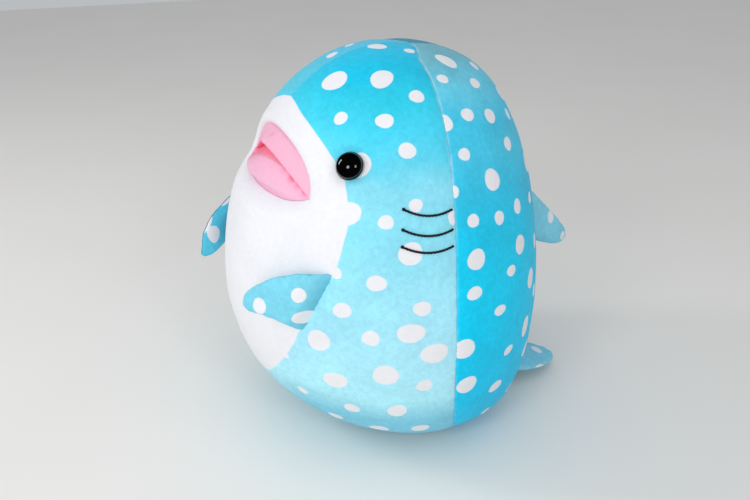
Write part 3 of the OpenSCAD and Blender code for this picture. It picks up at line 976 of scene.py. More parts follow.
def painted_light_and_shade(start, az, z):
    """Painted sheen near the front right gore's crown, painted shade near the back right gore's crown,
    and a painted highlight along the side seams.
    """
    # Painted sheen where the front right gore is seen edge-on near the crown
    painted_light = 0.25 * (start == -90) * smooth((z - 270) / 50)
    # Painted shade on the back right gore near the crown
    painted_shade = 0.9 * (start == 180) * smooth((z - 306) / 28)
    # A painted highlight along the side seams, where the fuzz of the fabric catches the light
    beside = level_r(z) * np.abs(np.radians(np.abs(az) - 90))
    along = np.interp(z, _zs, _arc)
    highlight_along_seam = 0.55 + 0.25 * np.sin(along / 7 + start) + 0.2 * np.sin(along / 2.6)
    seam_highlight = highlight_along_seam * bell(beside, 1.2) * smooth(z / 20) * (0.35 + 0.65 * smooth((z - 200) / 60))
    return {"painted_light": painted_light, "painted_shade": painted_shade, "seam_highlight": 0.65 * seam_highlight}


for place, start, slot in (("front_left", 0, "plush_front"), ("front_right", -90, "plush_front"),
                           ("back_left", 90, "plush_back"), ("back_right", 180, "plush_back")):
    gore(place + "_gore", start, slot, place + "_panel")


# ---- mouth pieces ----

MOUTH_FABRIC = 1.3
# How much deeper than the white fabric's face the pink fabric is sewn in
TUCK = 0.35
FOLD_RADIUS = 1.5
POCKET_DEPTH = 12


def mouth_spread(count):
    """s from corner to corner, closer together near the corners."""
    turn = np.linspace(-math.pi / 2, math.pi / 2, count)
    return 0.998 * (0.35 * turn / (math.pi / 2) + 0.65 * np.sin(turn))


def opening(s):
    """1 at the middle of the mouth and 0 at its corners."""
    return np.clip(1 - s * s, 0, 1) ** 0.7


def through(profile, values, count):
    """A smooth curve through a profile's points for every s at once, with the values given at the
    points carried along it; the points are (z, sink)."""
    p = np.array(profile, float)
    lengths = np.linalg.norm(np.diff(p, axis=0), axis=1).mean(-1)
    knots = np.concatenate([[0], np.cumsum(np.sqrt(lengths))])
    slopes = np.gradient(p, knots, axis=0)
    t = np.linspace(0, knots[-1], count)
    k = np.clip(np.searchsorted(knots, t, side="right") - 1, 0, len(knots) - 2)
    h = (knots[k + 1] - knots[k])[:, None, None]
    x = (t[:, None, None] - knots[k][:, None, None]) / h
    curve = ((2 * x ** 3 - 3 * x ** 2 + 1) * p[k] + (x ** 3 - 2 * x ** 2 + x) * h * slopes[k]
             + (3 * x ** 2 - 2 * x ** 3) * p[k + 1] + (x ** 3 - x ** 2) * h * slopes[k + 1])
    return curve, np.interp(t, knots, values)


def palate_profile(s):
    """From the pocket's back, round the fold's soft edge and up to the upper lip's seam."""
    m = opening(s)
    z_fold, z_lip = fold_line(s), upper_lip(s)
    sink = fold_sink(s) + TUCK
    lip = lip_sink(s, True) + TUCK
    r = FOLD_RADIUS * m + 0.15
    rise = z_lip - z_fold
    return [
        (z_fold + 3 * m, sink + POCKET_DEPTH * m + 0.6),
        (z_fold - 0.5 * r, sink + 4.2 * r),
        (z_fold - 1.0 * r, sink + 1.9 * r),
        (z_fold - 0.55 * r, sink + 0.35 * r),
        (z_fold + 0.35 * r, sink - 0.05 * r),
        (z_fold + 0.3 * rise, sink + 0.04 * (lip - sink)),
        (z_fold + 0.6 * rise, sink + 0.3 * (lip - sink)),
        (z_fold + 0.86 * rise, sink + 0.64 * (lip - sink)),
        (z_lip - 0.15 * m, lip + 0.1),
        (z_lip + 0.3 * m, lip + 0.4),
    ]


def lower_profile(s):
    """From the pocket's back, over the tongue's rounded top and down to the lower lip's seam."""
    m = opening(s)
    z_fold, z_lip = fold_line(s), lower_lip(s)
    height = z_fold - z_lip
    top = z_fold - np.clip(0.32 - 0.36 * s, 0.06, 0.6) * height
    back = fold_sink(s) + TUCK
    sink = CORNER_SINK * s * s + TUCK
    lip = lip_sink(s, False) + TUCK
    crest = np.maximum(sink, 0.6 * back) + 6.6 * m
    return [
        (z_fold + 3.6 * m, back + POCKET_DEPTH * m + 1.6),
        (0.55 * z_fold + 0.45 * top, back + 9.6 * m + 1.2),
        (top + 0.05 * height, crest + 2.2 * m + 0.8),
        (top - 0.01 * height, crest + 1.0 * m + 0.3),
        (top - 0.05 * height, crest - 0.6 * m + 0.2),
        (0.6 * top + 0.4 * z_lip, sink + 4.4 * m + 0.2),
        (0.3 * top + 0.7 * z_lip, sink + 5.2 * m + 0.2),
        (z_lip + 0.09 * height, lip - 1.5 * m),
        (z_lip + 0.15 * m, lip + 0.1),
        (z_lip - 0.3 * m, lip + 0.4),
    ]


def mouth_piece(name, profile, shade_at, marks, slot, node):
    """One pink panel, from (z, sink) profiles, with painted shade in its pink given at each point of
    the profile; marks are places (az, z, width, painted shade, dent) where it is stitched in and shaded."""
    s = mouth_spread(110)
    rows = 64
    az = MOUTH_AZ * s
    curve, mouth_shade = through(profile(s), shade_at, rows)
    z, sink = np.moveaxis(curve, 1, 0)
    places = skin(az, z) + sink[..., None] * inward(az)
    soft = opening(s)
    # The panel is puffy between its sewn edges
    puffy = 0.35 * lumps(places, 17, SEED + 5) + 0.12 * lumps(places, 6, SEED + 6)
    inside = smooth(np.minimum(np.arange(rows), rows - 1 - np.arange(rows)) / 8)[:, None]
    mouth_shade = mouth_shade[:, None] * np.ones_like(s)
    push = -puffy * inside * soft
    # Painted shade round each mark, and a dent where the panel is stitched in
    for mark_az, mark_z, width, shade_strength, dent in marks:
        near = bell(np.linalg.norm(skin(az, z) - skin(mark_az, mark_z), axis=-1), width)
        near = near * np.where(sink < 11, 1, 0)
        mouth_shade = np.maximum(mouth_shade, shade_strength * near)
        push = push + dent * near
    places = places + push[..., None] * inward(az)
    behind = places + MOUTH_FABRIC * inward(az)
    points, faces = closed_sheet(places[::-1], behind[::-1])
    mouth_shade = mouth_shade[::-1].ravel()
    obj = new_mesh(name, points, faces, {"mouth_shade": np.concatenate([mouth_shade, mouth_shade])})
    finish_piece(obj, slot, [node])


# Painted shade at the points of each profile: strong at the pocket's back and under the fold, and along
# the sewn edge
PALATE_SHADE = (0.9, 0.9, 0.75, 0.4, 0.06, 0, 0, 0, 0.05, 0.5)
LOWER_SHADE = (0.9, 0.9, 0.8, 0.45, 0.12, 0.05, 0, 0, 0.15, 0.7)
# Marks as (az, z, width, painted shade, dent): painted shade under the fold and in the puckers
PALATE_MARKS = ((2.6, 275.5, 2.4, 0.5, 0.9),)
TONGUE_MARKS = ((-28, 242.5, 5, 0.9, 1.2), (-23, 245, 5, 0.8, 0.8), (14, 262, 5, 0.4, 0),
                (20, 258, 5, 0.5, 0), (25, 253.5, 4.5, 1.0, 3.2), (29, 250, 5, 0.6, 0),
                (33, 246, 4, 0.8, 0))
mouth_piece("mouth_palate", palate_profile, PALATE_SHADE, PALATE_MARKS,
            "mouth_palate", "mouth_upper_panel")
mouth_piece("mouth_tongue_and_lip", lower_profile, LOWER_SHADE, TONGUE_MARKS,
            "mouth_lip", "mouth_lower_panel")


# ---- eyes ----

def lathe(profile, sides, centre, out):
    """A closed solid turned about out from (radius, height) pairs, first and last on the axis."""
    out = unit(out)
    east = unit(np.cross([0, 0, 1], out))
    north = np.cross(out, east)
    turn = np.linspace(0, 2 * math.pi, sides, endpoint=False)[:, None]
    rings = [centre + r * (np.cos(turn) * east + np.sin(turn) * north) + h * out
             for r, h in profile[1:-1]]
    return capped(rings, centre + profile[0][1] * out, centre + profile[-1][1] * out)


def eye(name, side, node):
    """Domed safety eye with a bevelled rim, on the post that goes through the fabric."""
    post_l, post_r = 15, 2.5
    rim_h, rim_r = 1.5, EYE_R
    dome_r = EYE_R - 0.45
    profile = [(0, -post_l), (post_r - 0.6, -post_l), (post_r, -post_l + 0.8)]
    profile += [(post_r + 0.25 * (k % 2), -post_l + 0.8 + k) for k in range(1, 13)]
    profile += [(post_r, 0.0), (rim_r - 0.5, 0.0), (rim_r - 0.1, 0.2), (rim_r, 0.6), (rim_r, rim_h - 0.4)]
    profile += [(rim_r - 0.1, rim_h - 0.1), (rim_r - 0.3, rim_h + 0.05)]
    turn = np.linspace(0, math.pi / 2, 22)[:-1]
    rise = EYE_DOME - rim_h - 0.1
    profile += [(dome_r * math.cos(a) ** 0.94, rim_h + 0.1 + rise * math.sin(a)) for a in turn]
    profile.append((0, EYE_DOME))
    out = outward(side * EYE_AZ, EYE_Z)
    centre = skin(side * EYE_AZ, EYE_Z) - EYE_SINK * out
    finish_piece(new_mesh(name, *lathe(profile, 72, centre, out)), "eye_black", [node])


eye("left_safety_eye", 1, "left_eye")
eye("right_safety_eye", -1, "right_eye")
# The washers behind the eyes are plain rings, so the frame's own shapes are shown
for node in ("left_eye_washer", "right_eye_washer"):
    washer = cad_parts[node]
    washer.data.materials.clear()
    washer.data.materials.append(MATERIALS["washer_plastic"])


# ---- gills ----

def gill_line(z, side, count):
    """Places (az, z) along a gill that starts at height z."""
    t = np.linspace(0, 1, count)
    u = 1 - t
    az = GILL_AZ[0] + (GILL_AZ[1] - GILL_AZ[0]) * t
    height = u * u * z + 2 * u * t * (z - GILL_SAG) + t * t * (z - GILL_FALL)
    return side * az, height


def gills(name, side, node):
    """Three lines of thick twisted thread with a small knot at each front end."""
    parts = []
    for z in GILL_ZS:
        az, height = gill_line(z, side, 150)
        spine = fabric(az, height, 0.35)
        r = np.full(150, GILL_R)
        r[0] = r[-1] = 0.3 * GILL_R
        r[1] = r[-2] = 0.8 * GILL_R
        parts.append(tube(spine, r, 18, outward(az, height), twist=2.4, ply=3, ply_depth=0.14))
        start = fabric(az[2], height[2], 0.5)
        knot = [(0, -1.2)] + [(1.35 * math.cos(a), 1.1 * math.sin(a)) for a in
                              np.linspace(-1.3, 1.3, 8)] + [(0, 1.2)]
        parts.append(lathe(knot, 16, start, outward(az[2], height[2])))
    finish_piece(new_mesh(name, *joined(parts)), "gill_thread", [node])


gills("left_gill_embroidery", 1, "left_gill_stitches")
gills("right_gill_embroidery", -1, "right_gill_stitches")


# ---- fins and tail ----
# Each is blown up from two flat layers by cloth simulation, then split into its two panels.

# The cloth is simulated this many times as large as it is, where the solver's steps suit it
CLOTH_SCALE = 10
CLOTH_FRAMES = 22
CLOTH_SETTINGS = {
    "quality": 6, "mass": 0.3, "tension_stiffness": 30, "compression_stiffness": 12,
    "shear_stiffness": 8, "bending_stiffness": 0.4, "use_pressure": True,
    "uniform_pressure_force": 4, "vertex_group_mass": "root",
}
EDGE_STEP = 1.9
# Share of a fin's edges after which the tip is rounded
TIP_START = 0.93


def even_loop(points, step):
    """A closed outline, resampled in equal steps."""
    p = np.asarray(points, float)
    p = np.vstack([p, p[:1]])
    lengths = lengths_along(p)
    at = np.linspace(0, lengths[-1], int(lengths[-1] / step), endpoint=False)
    return np.stack([np.interp(at, lengths, p[:, k]) for k in (0, 1)], -1)


def fin_outline(lead, trail):
    """Outline of a fin with a straight root, its tip rounded off."""
    t = TIP_START * np.linspace(0, 1, 60)
    ahead, behind = bezier(lead, [TIP_START, 1]), bezier(trail, [TIP_START, 1])
    tip = curve_through([ahead[0], 0.5 * (ahead[1] + behind[1]), behind[0]], 1.0)
    return np.vstack([bezier(lead, t), tip, bezier(trail, t[::-1])])


def tail_outline():
    """Outline of the tail's two lobes and its curved root."""
    t = np.linspace(0, 1, 60)
    lobe = np.vstack([bezier(TAIL_LOBE, t), bezier(TAIL_NOTCH, t)[1:]])
    u = np.linspace(-TAIL_ROOT, TAIL_ROOT, 60)
    root = np.stack([u, tail_root_v(u)], -1)
    return np.vstack([lobe, lobe[::-1] * (-1, 1), root[1:-1]])


def flat_layers(outline, step):
    """Points inside an outline on a triangular net, and triangles; the outline comes first."""
    low, high = outline.min(0), outline.max(0)
    inner = []
    for row, v in enumerate(np.arange(low[1], high[1], step * math.sqrt(0.75))):
        for u in np.arange(low[0] + (row % 2) * step / 2, high[0], step):
            inner.append((u, v))
    inner = np.array(inner)
    loop = np.vstack([outline, outline[:1]])
    flat = np.column_stack([inner, np.zeros(len(inner))])
    d, _ = nearest(flat, np.column_stack([loop, np.zeros(len(loop))]))
    a, b = loop[:-1], loop[1:]
    spans = (a[None, :, 1] > inner[:, None, 1]) != (b[None, :, 1] > inner[:, None, 1])
    rise = np.where(b[:, 1] == a[:, 1], 1, b[:, 1] - a[:, 1])
    crossing = a[:, 0] + (inner[:, None, 1] - a[:, 1]) * (b[:, 0] - a[:, 0]) / rise
    inside = (spans & (inner[:, None, 0] < crossing)).sum(1) % 2 == 1
    inner = inner[inside & (d > 0.6 * step)]
    points = np.vstack([outline, inner])
    n = len(outline)
    edges = [(k, (k + 1) % n) for k in range(n)]
    net = delaunay_2d_cdt([Vector(p) for p in points], edges, [], 1, 1e-4)
    return np.array([tuple(v) for v in net[0]]), [tuple(f) for f in net[2]], n


def pillow(outline, half, root_v):
    """Two layers sewn round an outline and blown up: points (u, v, w), faces and their sides.
    half gives how far the sides w > 0 and w < 0 stand out."""
    flat, triangles, n = flat_layers(even_loop(outline, EDGE_STEP), EDGE_STEP)
    loop = flat[:n]
    depth, _ = nearest(np.column_stack([flat, 0 * flat[:, 0]]),
                       np.column_stack([np.vstack([loop, loop[:1]]), np.zeros(n + 1)]))
    dome = np.sqrt(np.clip(depth, 0, 12) / 12)
    count = len(flat)
    other = np.concatenate([np.arange(n), count + np.arange(count - n)])
    points = np.vstack([np.column_stack([flat, dome]), np.column_stack([flat[n:], -dome[n:]])])
    faces = triangles + [tuple(int(other[i]) for i in t[::-1]) for t in triangles]
    sides = np.array([1] * len(triangles) + [-1] * len(triangles))
    mesh = bpy.data.meshes.new("cloth")
    mesh.from_pydata((points * MM * CLOTH_SCALE).tolist(), [], faces)
    mesh.polygons.foreach_set("material_index", (sides < 0).astype(np.int32))
    obj = linked("cloth", mesh)
    mesh.materials.append(None)
    mesh.materials.append(None)
    inflate(obj, [i for i in range(n) if points[i, 1] < root_v(points[i, 0]) + 0.3])
    smoother = obj.modifiers.new("smoother", "SUBSURF")
    smoother.levels = 1
    result = obj.evaluated_get(bpy.context.evaluated_depsgraph_get()).to_mesh()
    soft = coordinates(result).astype(float) / MM / CLOTH_SCALE
    faces = [tuple(p.vertices) for p in result.polygons]
    sides = np.array([1 if p.material_index == 0 else -1 for p in result.polygons])
    bpy.data.objects.remove(obj)
    # The outline draws in as the cloth fills, so it is let out to its own size again
    for k in (0, 1):
        low, high = soft[:, k].min(), soft[:, k].max()
        soft[:, k] = outline[:, k].min() + (soft[:, k] - low) * np.ptp(outline[:, k]) / (high - low)
    w = soft[:, 2]
    soft[:, 2] = np.where(w > 0, w * half[0] / w.max(), w * half[1] / -w.min())
    return soft, faces, sides


def inflate(obj, pinned):
    """Fills an object's cloth with pressure and keeps the result as its mesh."""
    group = obj.vertex_groups.new(name="root")
    group.add(pinned, 1.0, "REPLACE")
    cloth = obj.modifiers.new("cloth", "CLOTH")
    for key, value in CLOTH_SETTINGS.items():
        setattr(cloth.settings, key, value)
    cloth.settings.effector_weights.gravity = 0
    cloth.collision_settings.use_collision = False
    cloth.point_cache.frame_start = 1
    cloth.point_cache.frame_end = CLOTH_FRAMES
    scene = bpy.context.scene
    for k in range(1, CLOTH_FRAMES + 1):
        scene.frame_set(k)
    blown = coordinates(obj.evaluated_get(bpy.context.evaluated_depsgraph_get()).data)
    obj.modifiers.remove(cloth)
    obj.data.vertices.foreach_set("co", blown.ravel())
    obj.data.update()
    scene.frame_set(1)


def seam_loop(faces, sides):
    """The vertices where the two sides meet, in order round the outline. Known fault: where a vertex
    has more than two such links it can turn back early, and on the side fins and the back fin it
    finds only a few of the seam's vertices, which leaves their seams open."""
    edges = {}
    for face, side in zip(faces, sides):
        for a, b in zip(face, face[1:] + face[:1]):
            edges.setdefault((min(a, b), max(a, b)), set()).add(side)
    links = {}
    for (a, b), found in edges.items():
        if len(found) == 2:
            links.setdefault(a, []).append(b)
            links.setdefault(b, []).append(a)
    start = min(links)
    loop, previous = [start], None
    while True:
        step = [k for k in links[loop[-1]] if k != previous]
        previous = loop[-1]
        if step[0] == start or (len(loop) > 2 and start in step):
            return loop
        loop.append(step[0])


def panel(soft, faces, sides, side, loop):
    """One sewn panel as a closed sheet: (u, v, w) points, faces and depth in from the seam."""
    own = [f for f, s in zip(faces, sides) if s == side]
    used = np.unique(np.concatenate([np.array(f) for f in own]))
    index = {int(k): i for i, k in enumerate(used)}
    own = [tuple(index[k] for k in f) for f in own]
    p = soft[used].copy()
    rim = soft[loop + loop[:1]]
    flat = p * (1, 1, 0)
    depth, place = nearest(flat, rim * (1, 1, 0))
    along = np.interp(place, np.arange(len(rim)), lengths_along(rim))
    round_edge = np.sqrt(1 - (1 - np.clip(depth / 1.5, 0, 1)) ** 2)
    drift = 1.8 * np.sin(along / 17)
    puckers = np.cos(2 * math.pi * along / 4.6 + drift) * np.exp(-depth / 2.8)
    long_puckers = np.cos(2 * math.pi * along / 14 + 2 * drift) * np.exp(-depth / 8)
    p[:, 2] += side * (0.04 + 0.7 * round_edge + round_edge * (0.22 * puckers + 0.45 * long_puckers))
    p[:, 2] += side * 0.25 * smooth(depth / 5) * lumps(p * (1, 1, 0), 9, SEED + 11 + side)
    normals = vertex_normals(p, own)
    under = p - 0.7 * normals
    under[:, 2] = side * np.maximum(side * under[:, 2], 0.02)
    n = len(p)
    edges = dict.fromkeys((a, b) for f in own for a, b in zip(f, f[1:] + f[:1]))
    walls = [(b, a, n + a, n + b) for a, b in edges if (b, a) not in edges]
    faces = own + [tuple(n + k for k in f[::-1]) for f in own] + walls
    return np.vstack([p, under]), faces, np.concatenate([depth, depth])


def vertex_normals(points, faces):
    """Directions straight out at each point of a mesh of triangles and quads."""
    normals = np.zeros_like(points)
    for corners in (3, 4):
        group = np.array([f for f in faces if len(f) == corners])
        if len(group):
            a, b, c = (points[group[:, k]] for k in (0, 1, 2))
            d = points[group[:, 3]] if corners == 4 else a
            n = np.cross(c - a, d - b) if corners == 4 else np.cross(b - a, c - a)
            for k in range(corners):
                np.add.at(normals, group[:, k], n)
    return unit(normals + 1e-12)


# How far under the body's fabric the fins' cut edges are sewn, and how wide the let-in strip is
FIN_SUNK = 1.5
FIN_STRIP = 11


def to_body(fin_frame, points, root_v):
    """Places fin points in the frame of the whole, its root strip let in to the body's fabric."""
    u, v, w = points.T
    placed = in_frame(fin_frame, u, v, w)
    foot = in_frame(fin_frame, u, root_v(u), 0 * u)
    az, z, height = surface_place(foot)
    sewn = fabric(az, z, -FIN_SUNK)
    pull = ((foot - sewn) * outward(az, z)).sum(-1)
    k = smooth(1 - (v - root_v(u)) / FIN_STRIP)
    return placed - (k * pull)[:, None] * outward(az, z)


# How strong the painted highlight on a fin is along the stretch of seam that seam_loop() finds
EDGE_HIGHLIGHT = 0.9
# Size of a fin's filling next to the fin, along u, v and w
FILLING_SHARE = (0.84, 0.8, 0.6)


def fin_spots(u, v, spots):
    """Depth inside a fin's round spots, given as (u, v, length, width, turn of its length)."""
    depth = np.full(len(u), -50.0)
    for cu, cv, length, width, turn in spots:
        a = math.radians(turn)
        x = ((u - cu) * math.cos(a) + (v - cv) * math.sin(a)) / (length / 2)
        y = (-(u - cu) * math.sin(a) + (v - cv) * math.cos(a)) / (width / 2)
        depth = np.maximum(depth, (1 - np.hypot(x, y)) * math.sqrt(length * width) / 2)
    return depth


def fin_mesh(name, points, faces, placing, values=None):
    """A mesh on the body, from a fin's own points; placing is the fin's frame, its root line, what
    changes its shape, and whether it is mirrored to the shark's right."""
    fin_frame, root_v, change, mirror = placing
    placed = to_body(fin_frame, change(points) if change else points, root_v)
    if mirror:
        placed, faces = mirrored(placed), [f[::-1] for f in faces]
    return new_mesh(name, placed, faces, values)


def soft_fin(body, shape, fin_frame, root_v, spots, slot, nodes, painted_light, change=None, mirror=False):
    """Two sewn panels and the filling between them, from a pillow's shape, with painted light as strong
    as the given share away from the panels' edges, a painted highlight along them and painted shade at
    the root."""
    soft, faces, sides = shape
    placing = (fin_frame, root_v, change, mirror)
    loop = seam_loop(faces, sides)
    ends = np.array([fin_frame[0], fin_frame[0] + 10 * fin_frame[2]])
    ends = [tuple(p) for p in ((mirrored(ends) if mirror else ends) * MM).tolist()]
    for side, node, marks in ((1, nodes[0], spots[0]), (-1, nodes[1], spots[1])):
        points, own, depth = panel(soft, faces, sides, side, loop)
        u, v = points[:, 0], points[:, 1]
        from_root = v - root_v(u)
        # Painted light on the panel, a painted highlight along its seam and painted shade at its root
        edge = smooth(1 - depth / 5) * smooth(from_root / 12)
        values = {"white": fin_spots(u, v, marks), "painted_light": painted_light + (EDGE_HIGHLIGHT - painted_light) * edge,
                  "painted_shade": 0.3 * smooth(1 - from_root / 8)}
        obj = fin_mesh(node + "_fabric", points, own, placing, values)
        finish_piece(obj, slot, [node], body, blend=ends)
    centre = soft.mean(0)
    inner = centre + (soft - centre) * FILLING_SHARE
    inner += 0.35 * lumps(inner, 4.5, SEED + 15)[:, None] * vertex_normals(inner, faces)
    filling = fin_mesh(body + "_filling", inner, faces, placing)
    finish_piece(filling, "stuffing", [nodes[2]], body)


def droop(points):
    """The right fin hangs lower and closer to the body than the left one."""
    u, v, w = points.T
    reach = (np.clip(v, 0, None) / 52) ** 1.6
    lower = 6.5 * bell(v - 32, 11) * smooth(u / FIN_ROOT)
    wide = v * (1 + 0.2 * np.sin(math.pi * np.clip(u / 48, 0, 1)))
    return np.stack([u + 15 * reach + lower, wide, np.where(w > 0, 0.45 * w, w) - 4.5 * reach], -1)


def tucked_lobe(points):
    """The tail's right lobe is a little shorter and hangs a little lower than the left one."""
    u, v, w = points.T
    far = smooth(-u / 10) * smooth(v / 50)
    return np.stack([u, v * (1 - 0.13 * far), w - 2 * far], -1)


def straight_root(u):
    """The back fin's root is straight, a little way off the body."""
    return 1.5 + 0 * u


def fin_root(u):
    """The side fins' root runs along the fin's u axis."""
    return 0 * u


SIDE_FIN_SPOTS = (
    ((48.4, 37.3, 14, 11, -20), (22.4, 15, 12.5, 11.5, 0), (40.5, 4.5, 15, 13, 45)),
    ((30, 30, 13, 12, 0), (50, 20, 14, 12, 0), (16, 14, 22, 9, 58), (52, 46, 11, 9, 0)),
)
RIGHT_FIN_SPOTS = (
    ((44, 30, 14, 11, -20), (22, 17, 12, 12, 0), (42, 8, 15, 12, 40), (30, 47, 22, 9, 37)),
    ((39, 38, 14, 16, 0), (31, 46, 20, 8, 37), (13.5, 29, 13, 6, 74), (52, 16, 13, 12, 0),
     (24, 12, 12, 11, 0)),
)
DORSAL_SPOTS = (
    ((58, 43, 12, 8.5, 0), (84, 59, 10, 6, 0), (62, 14, 14, 12, 0), (20, 6, 11, 9, 0)),
    ((50, 36, 14, 12, 0), (78, 54, 11, 9, 0), (28, 14, 13, 12, 0), (60, 10, 13, 12, 0)),
)
TAIL_SPOTS = (
    ((20.5, 42, 13, 11, 0), (54, -2, 7, 7, 0), (50, 26, 20, 6, 115), (-26, 30, 13, 12, 0),
     (4, 18, 14, 12, 0), (-44, 12, 11, 11, 0), (30, 12, 12, 10, 0)),
    ((24, 30, 14, 12, 0), (-14, 20, 13, 13, 0), (-38, 34, 12, 11, 0), (44, 10, 11, 10, 0),
     (4, 6, 11, 10, 0)),
)


def fins_and_tail():
    # Painted light on the left fin, the back fin and the tail; none on the right fin, which is in shade
    side_fin = pillow(fin_outline(FIN_LEAD, FIN_TRAIL), FIN_HALF, fin_root)
    for side, mirror, change, spots, painted_light in (("left", False, None, SIDE_FIN_SPOTS, 0.5),
                                              ("right", True, droop, RIGHT_FIN_SPOTS, 0.0)):
        nodes = [f"{side}_fin_{part}" for part in ("outer_panel", "inner_panel", "stuffing")]
        soft_fin(side + "_fin", side_fin, FIN_FRAME, fin_root, spots, "fin_plush", nodes, painted_light,
                 change, mirror)
    dorsal = pillow(fin_outline(DORSAL_LEAD, DORSAL_TRAIL), DORSAL_HALF, straight_root)
    soft_fin("dorsal_fin", dorsal, DORSAL_FRAME, straight_root, DORSAL_SPOTS, "plush_back",
             ["dorsal_fin_left_panel", "dorsal_fin_right_panel", "dorsal_fin_stuffing"], 0.8)
    tail = pillow(tail_outline(), TAIL_HALF, tail_root_v)
    soft_fin("tail", tail, TAIL_FRAME, tail_root_v, TAIL_SPOTS, "plush_back",
             ["tail_upper_panel", "tail_lower_panel", "tail_stuffing"], 0.7, tucked_lobe)


fins_and_tail()


# ---- seam stitches ----

STITCH_STEP, STITCH_L, STITCH_R = 4.2, 2.4, 0.36
STITCH_SINK = -0.25
# Places along a stitch and its thickness there
STITCH_T = np.linspace(-1, 1, 5)
STITCH_SHAPE = STITCH_R * np.array([0.5, 1, 1.1, 1, 0.5])


def stitches(path, closed_in=None):
    """Short slanted stitches along a seam's path of (az, z), each from one fabric to the other."""
    path = np.asarray(path, float)
    steps = lengths_along(skin(path[:, 0], path[:, 1]))
    parts = []
    for middle in np.arange(STITCH_STEP, steps[-1] - STITCH_STEP, STITCH_STEP):
        ends = middle + 0.5 * STITCH_T * STITCH_L
        az, z = (np.interp(ends, steps, path[:, k]) for k in (0, 1))
        if closed_in and closed_in(az[2], z[2]):
            continue
        across = np.degrees(0.7 * STITCH_T / level_r(z))
        points = fabric(az + across, z, STITCH_SINK - 0.5 * STITCH_T ** 2)
        parts.append(tube(points, STITCH_SHAPE, 6, outward(az, z)))
    return parts


def on_white(az, z):
    """Whether the front seam is in the white print here, where its stitches don't show."""
    return BELLY_EDGE[-1][0] < z < BELLY_EDGE[0][0]


def seam_threads():
    """The stitches of the four seams, as three pieces."""
    rise = np.linspace(4, BODY_H - 1.5, 240)
    centre = stitches([(0, z) for z in rise], on_white) + stitches([(180, z) for z in rise])
    for name, parts, node in (
            ("front_and_back_seam_stitches", centre, "centre_seam_thread"),
            ("left_seam_stitches", stitches([(90, z) for z in rise]), "left_seam_thread"),
            ("right_seam_stitches", stitches([(-90, z) for z in rise]), "right_seam_thread")):
        finish_piece(new_mesh(name, *joined(parts)), "seam_thread", [node])


def base_pieces():
    """The round base panel, pulled in a little at its edge, and the stitches round it."""
    sides = 160
    turn = np.linspace(0, 2 * math.pi, sides, endpoint=False)
    pucker = 0.35 * np.cos(38 * turn) + 0.2 * np.cos(23 * turn + 1)
    profile = ((0.0, 0.3), (0.25, 0.25), (0.5, 0.15), (0.75, 0.05), (0.93, 0.0), (0.985, 0.35), (1, 0.9),
               (0.985, 1.7), (0.93, 2.0), (0.75, 2.1), (0.5, 2.2), (0.25, 2.3), (0.0, 2.3))
    rings = []
    for k, (r, h) in enumerate(profile[1:-1], 1):
        ring_r = BASE_R * r - 0.2 + pucker * r ** 12
        rise = h + 0.12 * np.abs(pucker) * r ** 6
        rings.append(np.stack([ring_r * np.sin(turn), -ring_r * np.cos(turn), rise], -1))
    panel_mesh = new_mesh("base_circle", *capped(rings, (0, 0, profile[0][1]), (0, 0, profile[-1][1])))
    finish_piece(panel_mesh, "plush_back", ["base_panel"])
    parts = []
    for middle in np.arange(0, 2 * math.pi, STITCH_STEP / BASE_R):
        a = middle + 0.5 * STITCH_T * STITCH_L / BASE_R
        r = BASE_R + 0.8 + 0.6 * STITCH_T
        spine = np.stack([r * np.sin(a), -r * np.cos(a), 0 * a + 0.75], -1)
        parts.append(tube(spine, STITCH_SHAPE, 6, (0, 0, 1)))
    finish_piece(new_mesh("base_seam_stitches", *joined(parts)), "seam_thread", ["base_seam_thread"])


seam_threads()
base_pieces()


# ---- body filling ----

def body_filling():
    """Loose fibre that fills the body, with room for the mouth's pocket and the eyes' washers."""
    rows, cols = 90, 128
    az = np.linspace(-180, 180, cols, endpoint=False)[None]
    z = rows_between(2.6, BODY_H - 4, rows - 1)[:, None]
    az, z = np.broadcast_arrays(az, z)
    body = skin(az, z)
    room = np.full(z.shape, 3.4)
    d_mouth, _ = mouth_distance(az, z, body)
    room = room + 21 * smooth((7 - d_mouth) / 12)
    for side in (-1, 1):
        d_eye = np.linalg.norm(body - skin(side * EYE_AZ, EYE_Z), axis=-1)
        room = room + 6 * smooth((17 - d_eye) / 7)
    tufts = 1.1 * lumps(body, 13, SEED + 8) + 0.7 * lumps(body, 5, SEED + 9)
    points = fabric(az, z, tufts - room)
    points[..., 2] = np.maximum(points[..., 2], 2.6)
    faces = [tuple(f) for f in grid_faces(rows, cols, closed=True)]
    faces.append(tuple(range(cols))[::-1])
    faces.append(tuple((rows - 1) * cols + j for j in range(cols)))
    obj = new_mesh("body_filling", points.reshape(-1, 3), faces)
    finish_piece(obj, "stuffing", ["body_stuffing"])


body_filling()


# ---- stage ----

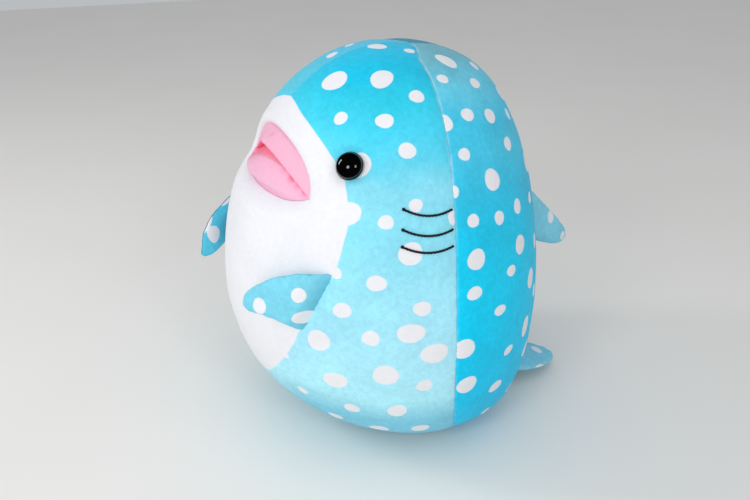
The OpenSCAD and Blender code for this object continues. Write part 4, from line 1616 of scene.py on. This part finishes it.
def floor():
    side = 3.0
    mesh = bpy.data.meshes.new("floor")
    mesh.from_pydata([(-side, -side, 0), (side, -side, 0), (side, side, 0), (-side, side, 0)], [],
                     [(0, 1, 2, 3)])
    obj = linked("floor", mesh)
    g = Graph("pale_floor")
    place = g.node("ShaderNodeTexCoord").outputs["Object"]
    soft = g.noise(place, 3, detail=2)
    mesh.materials.append(g.done(g.mix(soft, srgb(240, 237, 232), srgb(246, 243, 239)), 0.9))
    # The pale floor isn't mirrored in the eyes
    obj.visible_glossy = False


def area_light(name, azimuth, elevation, distance, width, height, power, glossy=True):
    """A soft box that looks at the shark; azimuth is measured as az is, and glossy says whether it
    shows in the eyes."""
    turn, rise = math.radians(azimuth), math.radians(elevation)
    aim = Vector((0, -0.03, 0.17))
    away = Vector((math.sin(turn) * math.cos(rise), -math.cos(turn) * math.cos(rise), math.sin(rise)))
    data = bpy.data.lights.new(name, "AREA")
    data.shape = "RECTANGLE"
    data.size, data.size_y = width, height
    data.energy = power
    obj = linked(name, data)
    obj.visible_glossy = glossy
    obj.location = aim + distance * away
    obj.rotation_euler = (-away).to_track_quat("-Z", "Y").to_euler()


def camera():
    """The view from the shark's front left and a little above."""
    data = bpy.data.cameras.new("camera")
    data.lens = 39.0
    data.sensor_width = 36
    obj = linked("camera", data)
    turn, drop = math.radians(66.1), math.radians(24.33)
    ahead = Vector((-math.sin(turn) * math.cos(drop), math.cos(turn) * math.cos(drop), -math.sin(drop)))
    obj.location = (0.6175, -0.3275, 0.4596)
    obj.rotation_euler = ahead.to_track_quat("-Z", "Y").to_euler()
    bpy.context.scene.camera = obj


def daylight(strength):
    world = bpy.data.worlds.new("soft_room")
    bpy.context.scene.world = world
    world.use_nodes = True
    back = world.node_tree.nodes["Background"]
    back.inputs["Color"].default_value = (0.93, 0.96, 1.0, 1)
    back.inputs["Strength"].default_value = strength
    # The dark room isn't mirrored in the eyes
    world.cycles_visibility.glossy = False


floor()
camera()
daylight(0.53)
area_light("window_left", -24, 30, 1.6, 0.24, 0.6, 4.4)
area_light("window_front", 38, 27, 1.6, 0.3, 0.32, 3.0)
area_light("window_right", 87, 28, 1.6, 0.32, 0.34, 2.6)
area_light("ceiling", 60, 66, 1.8, 1.4, 1.4, 4.5, glossy=False)
area_light("low_fill", 40, 6, 1.9, 2.0, 1.2, 9, glossy=False)
bpy.context.scene.view_settings.view_transform = "Standard"
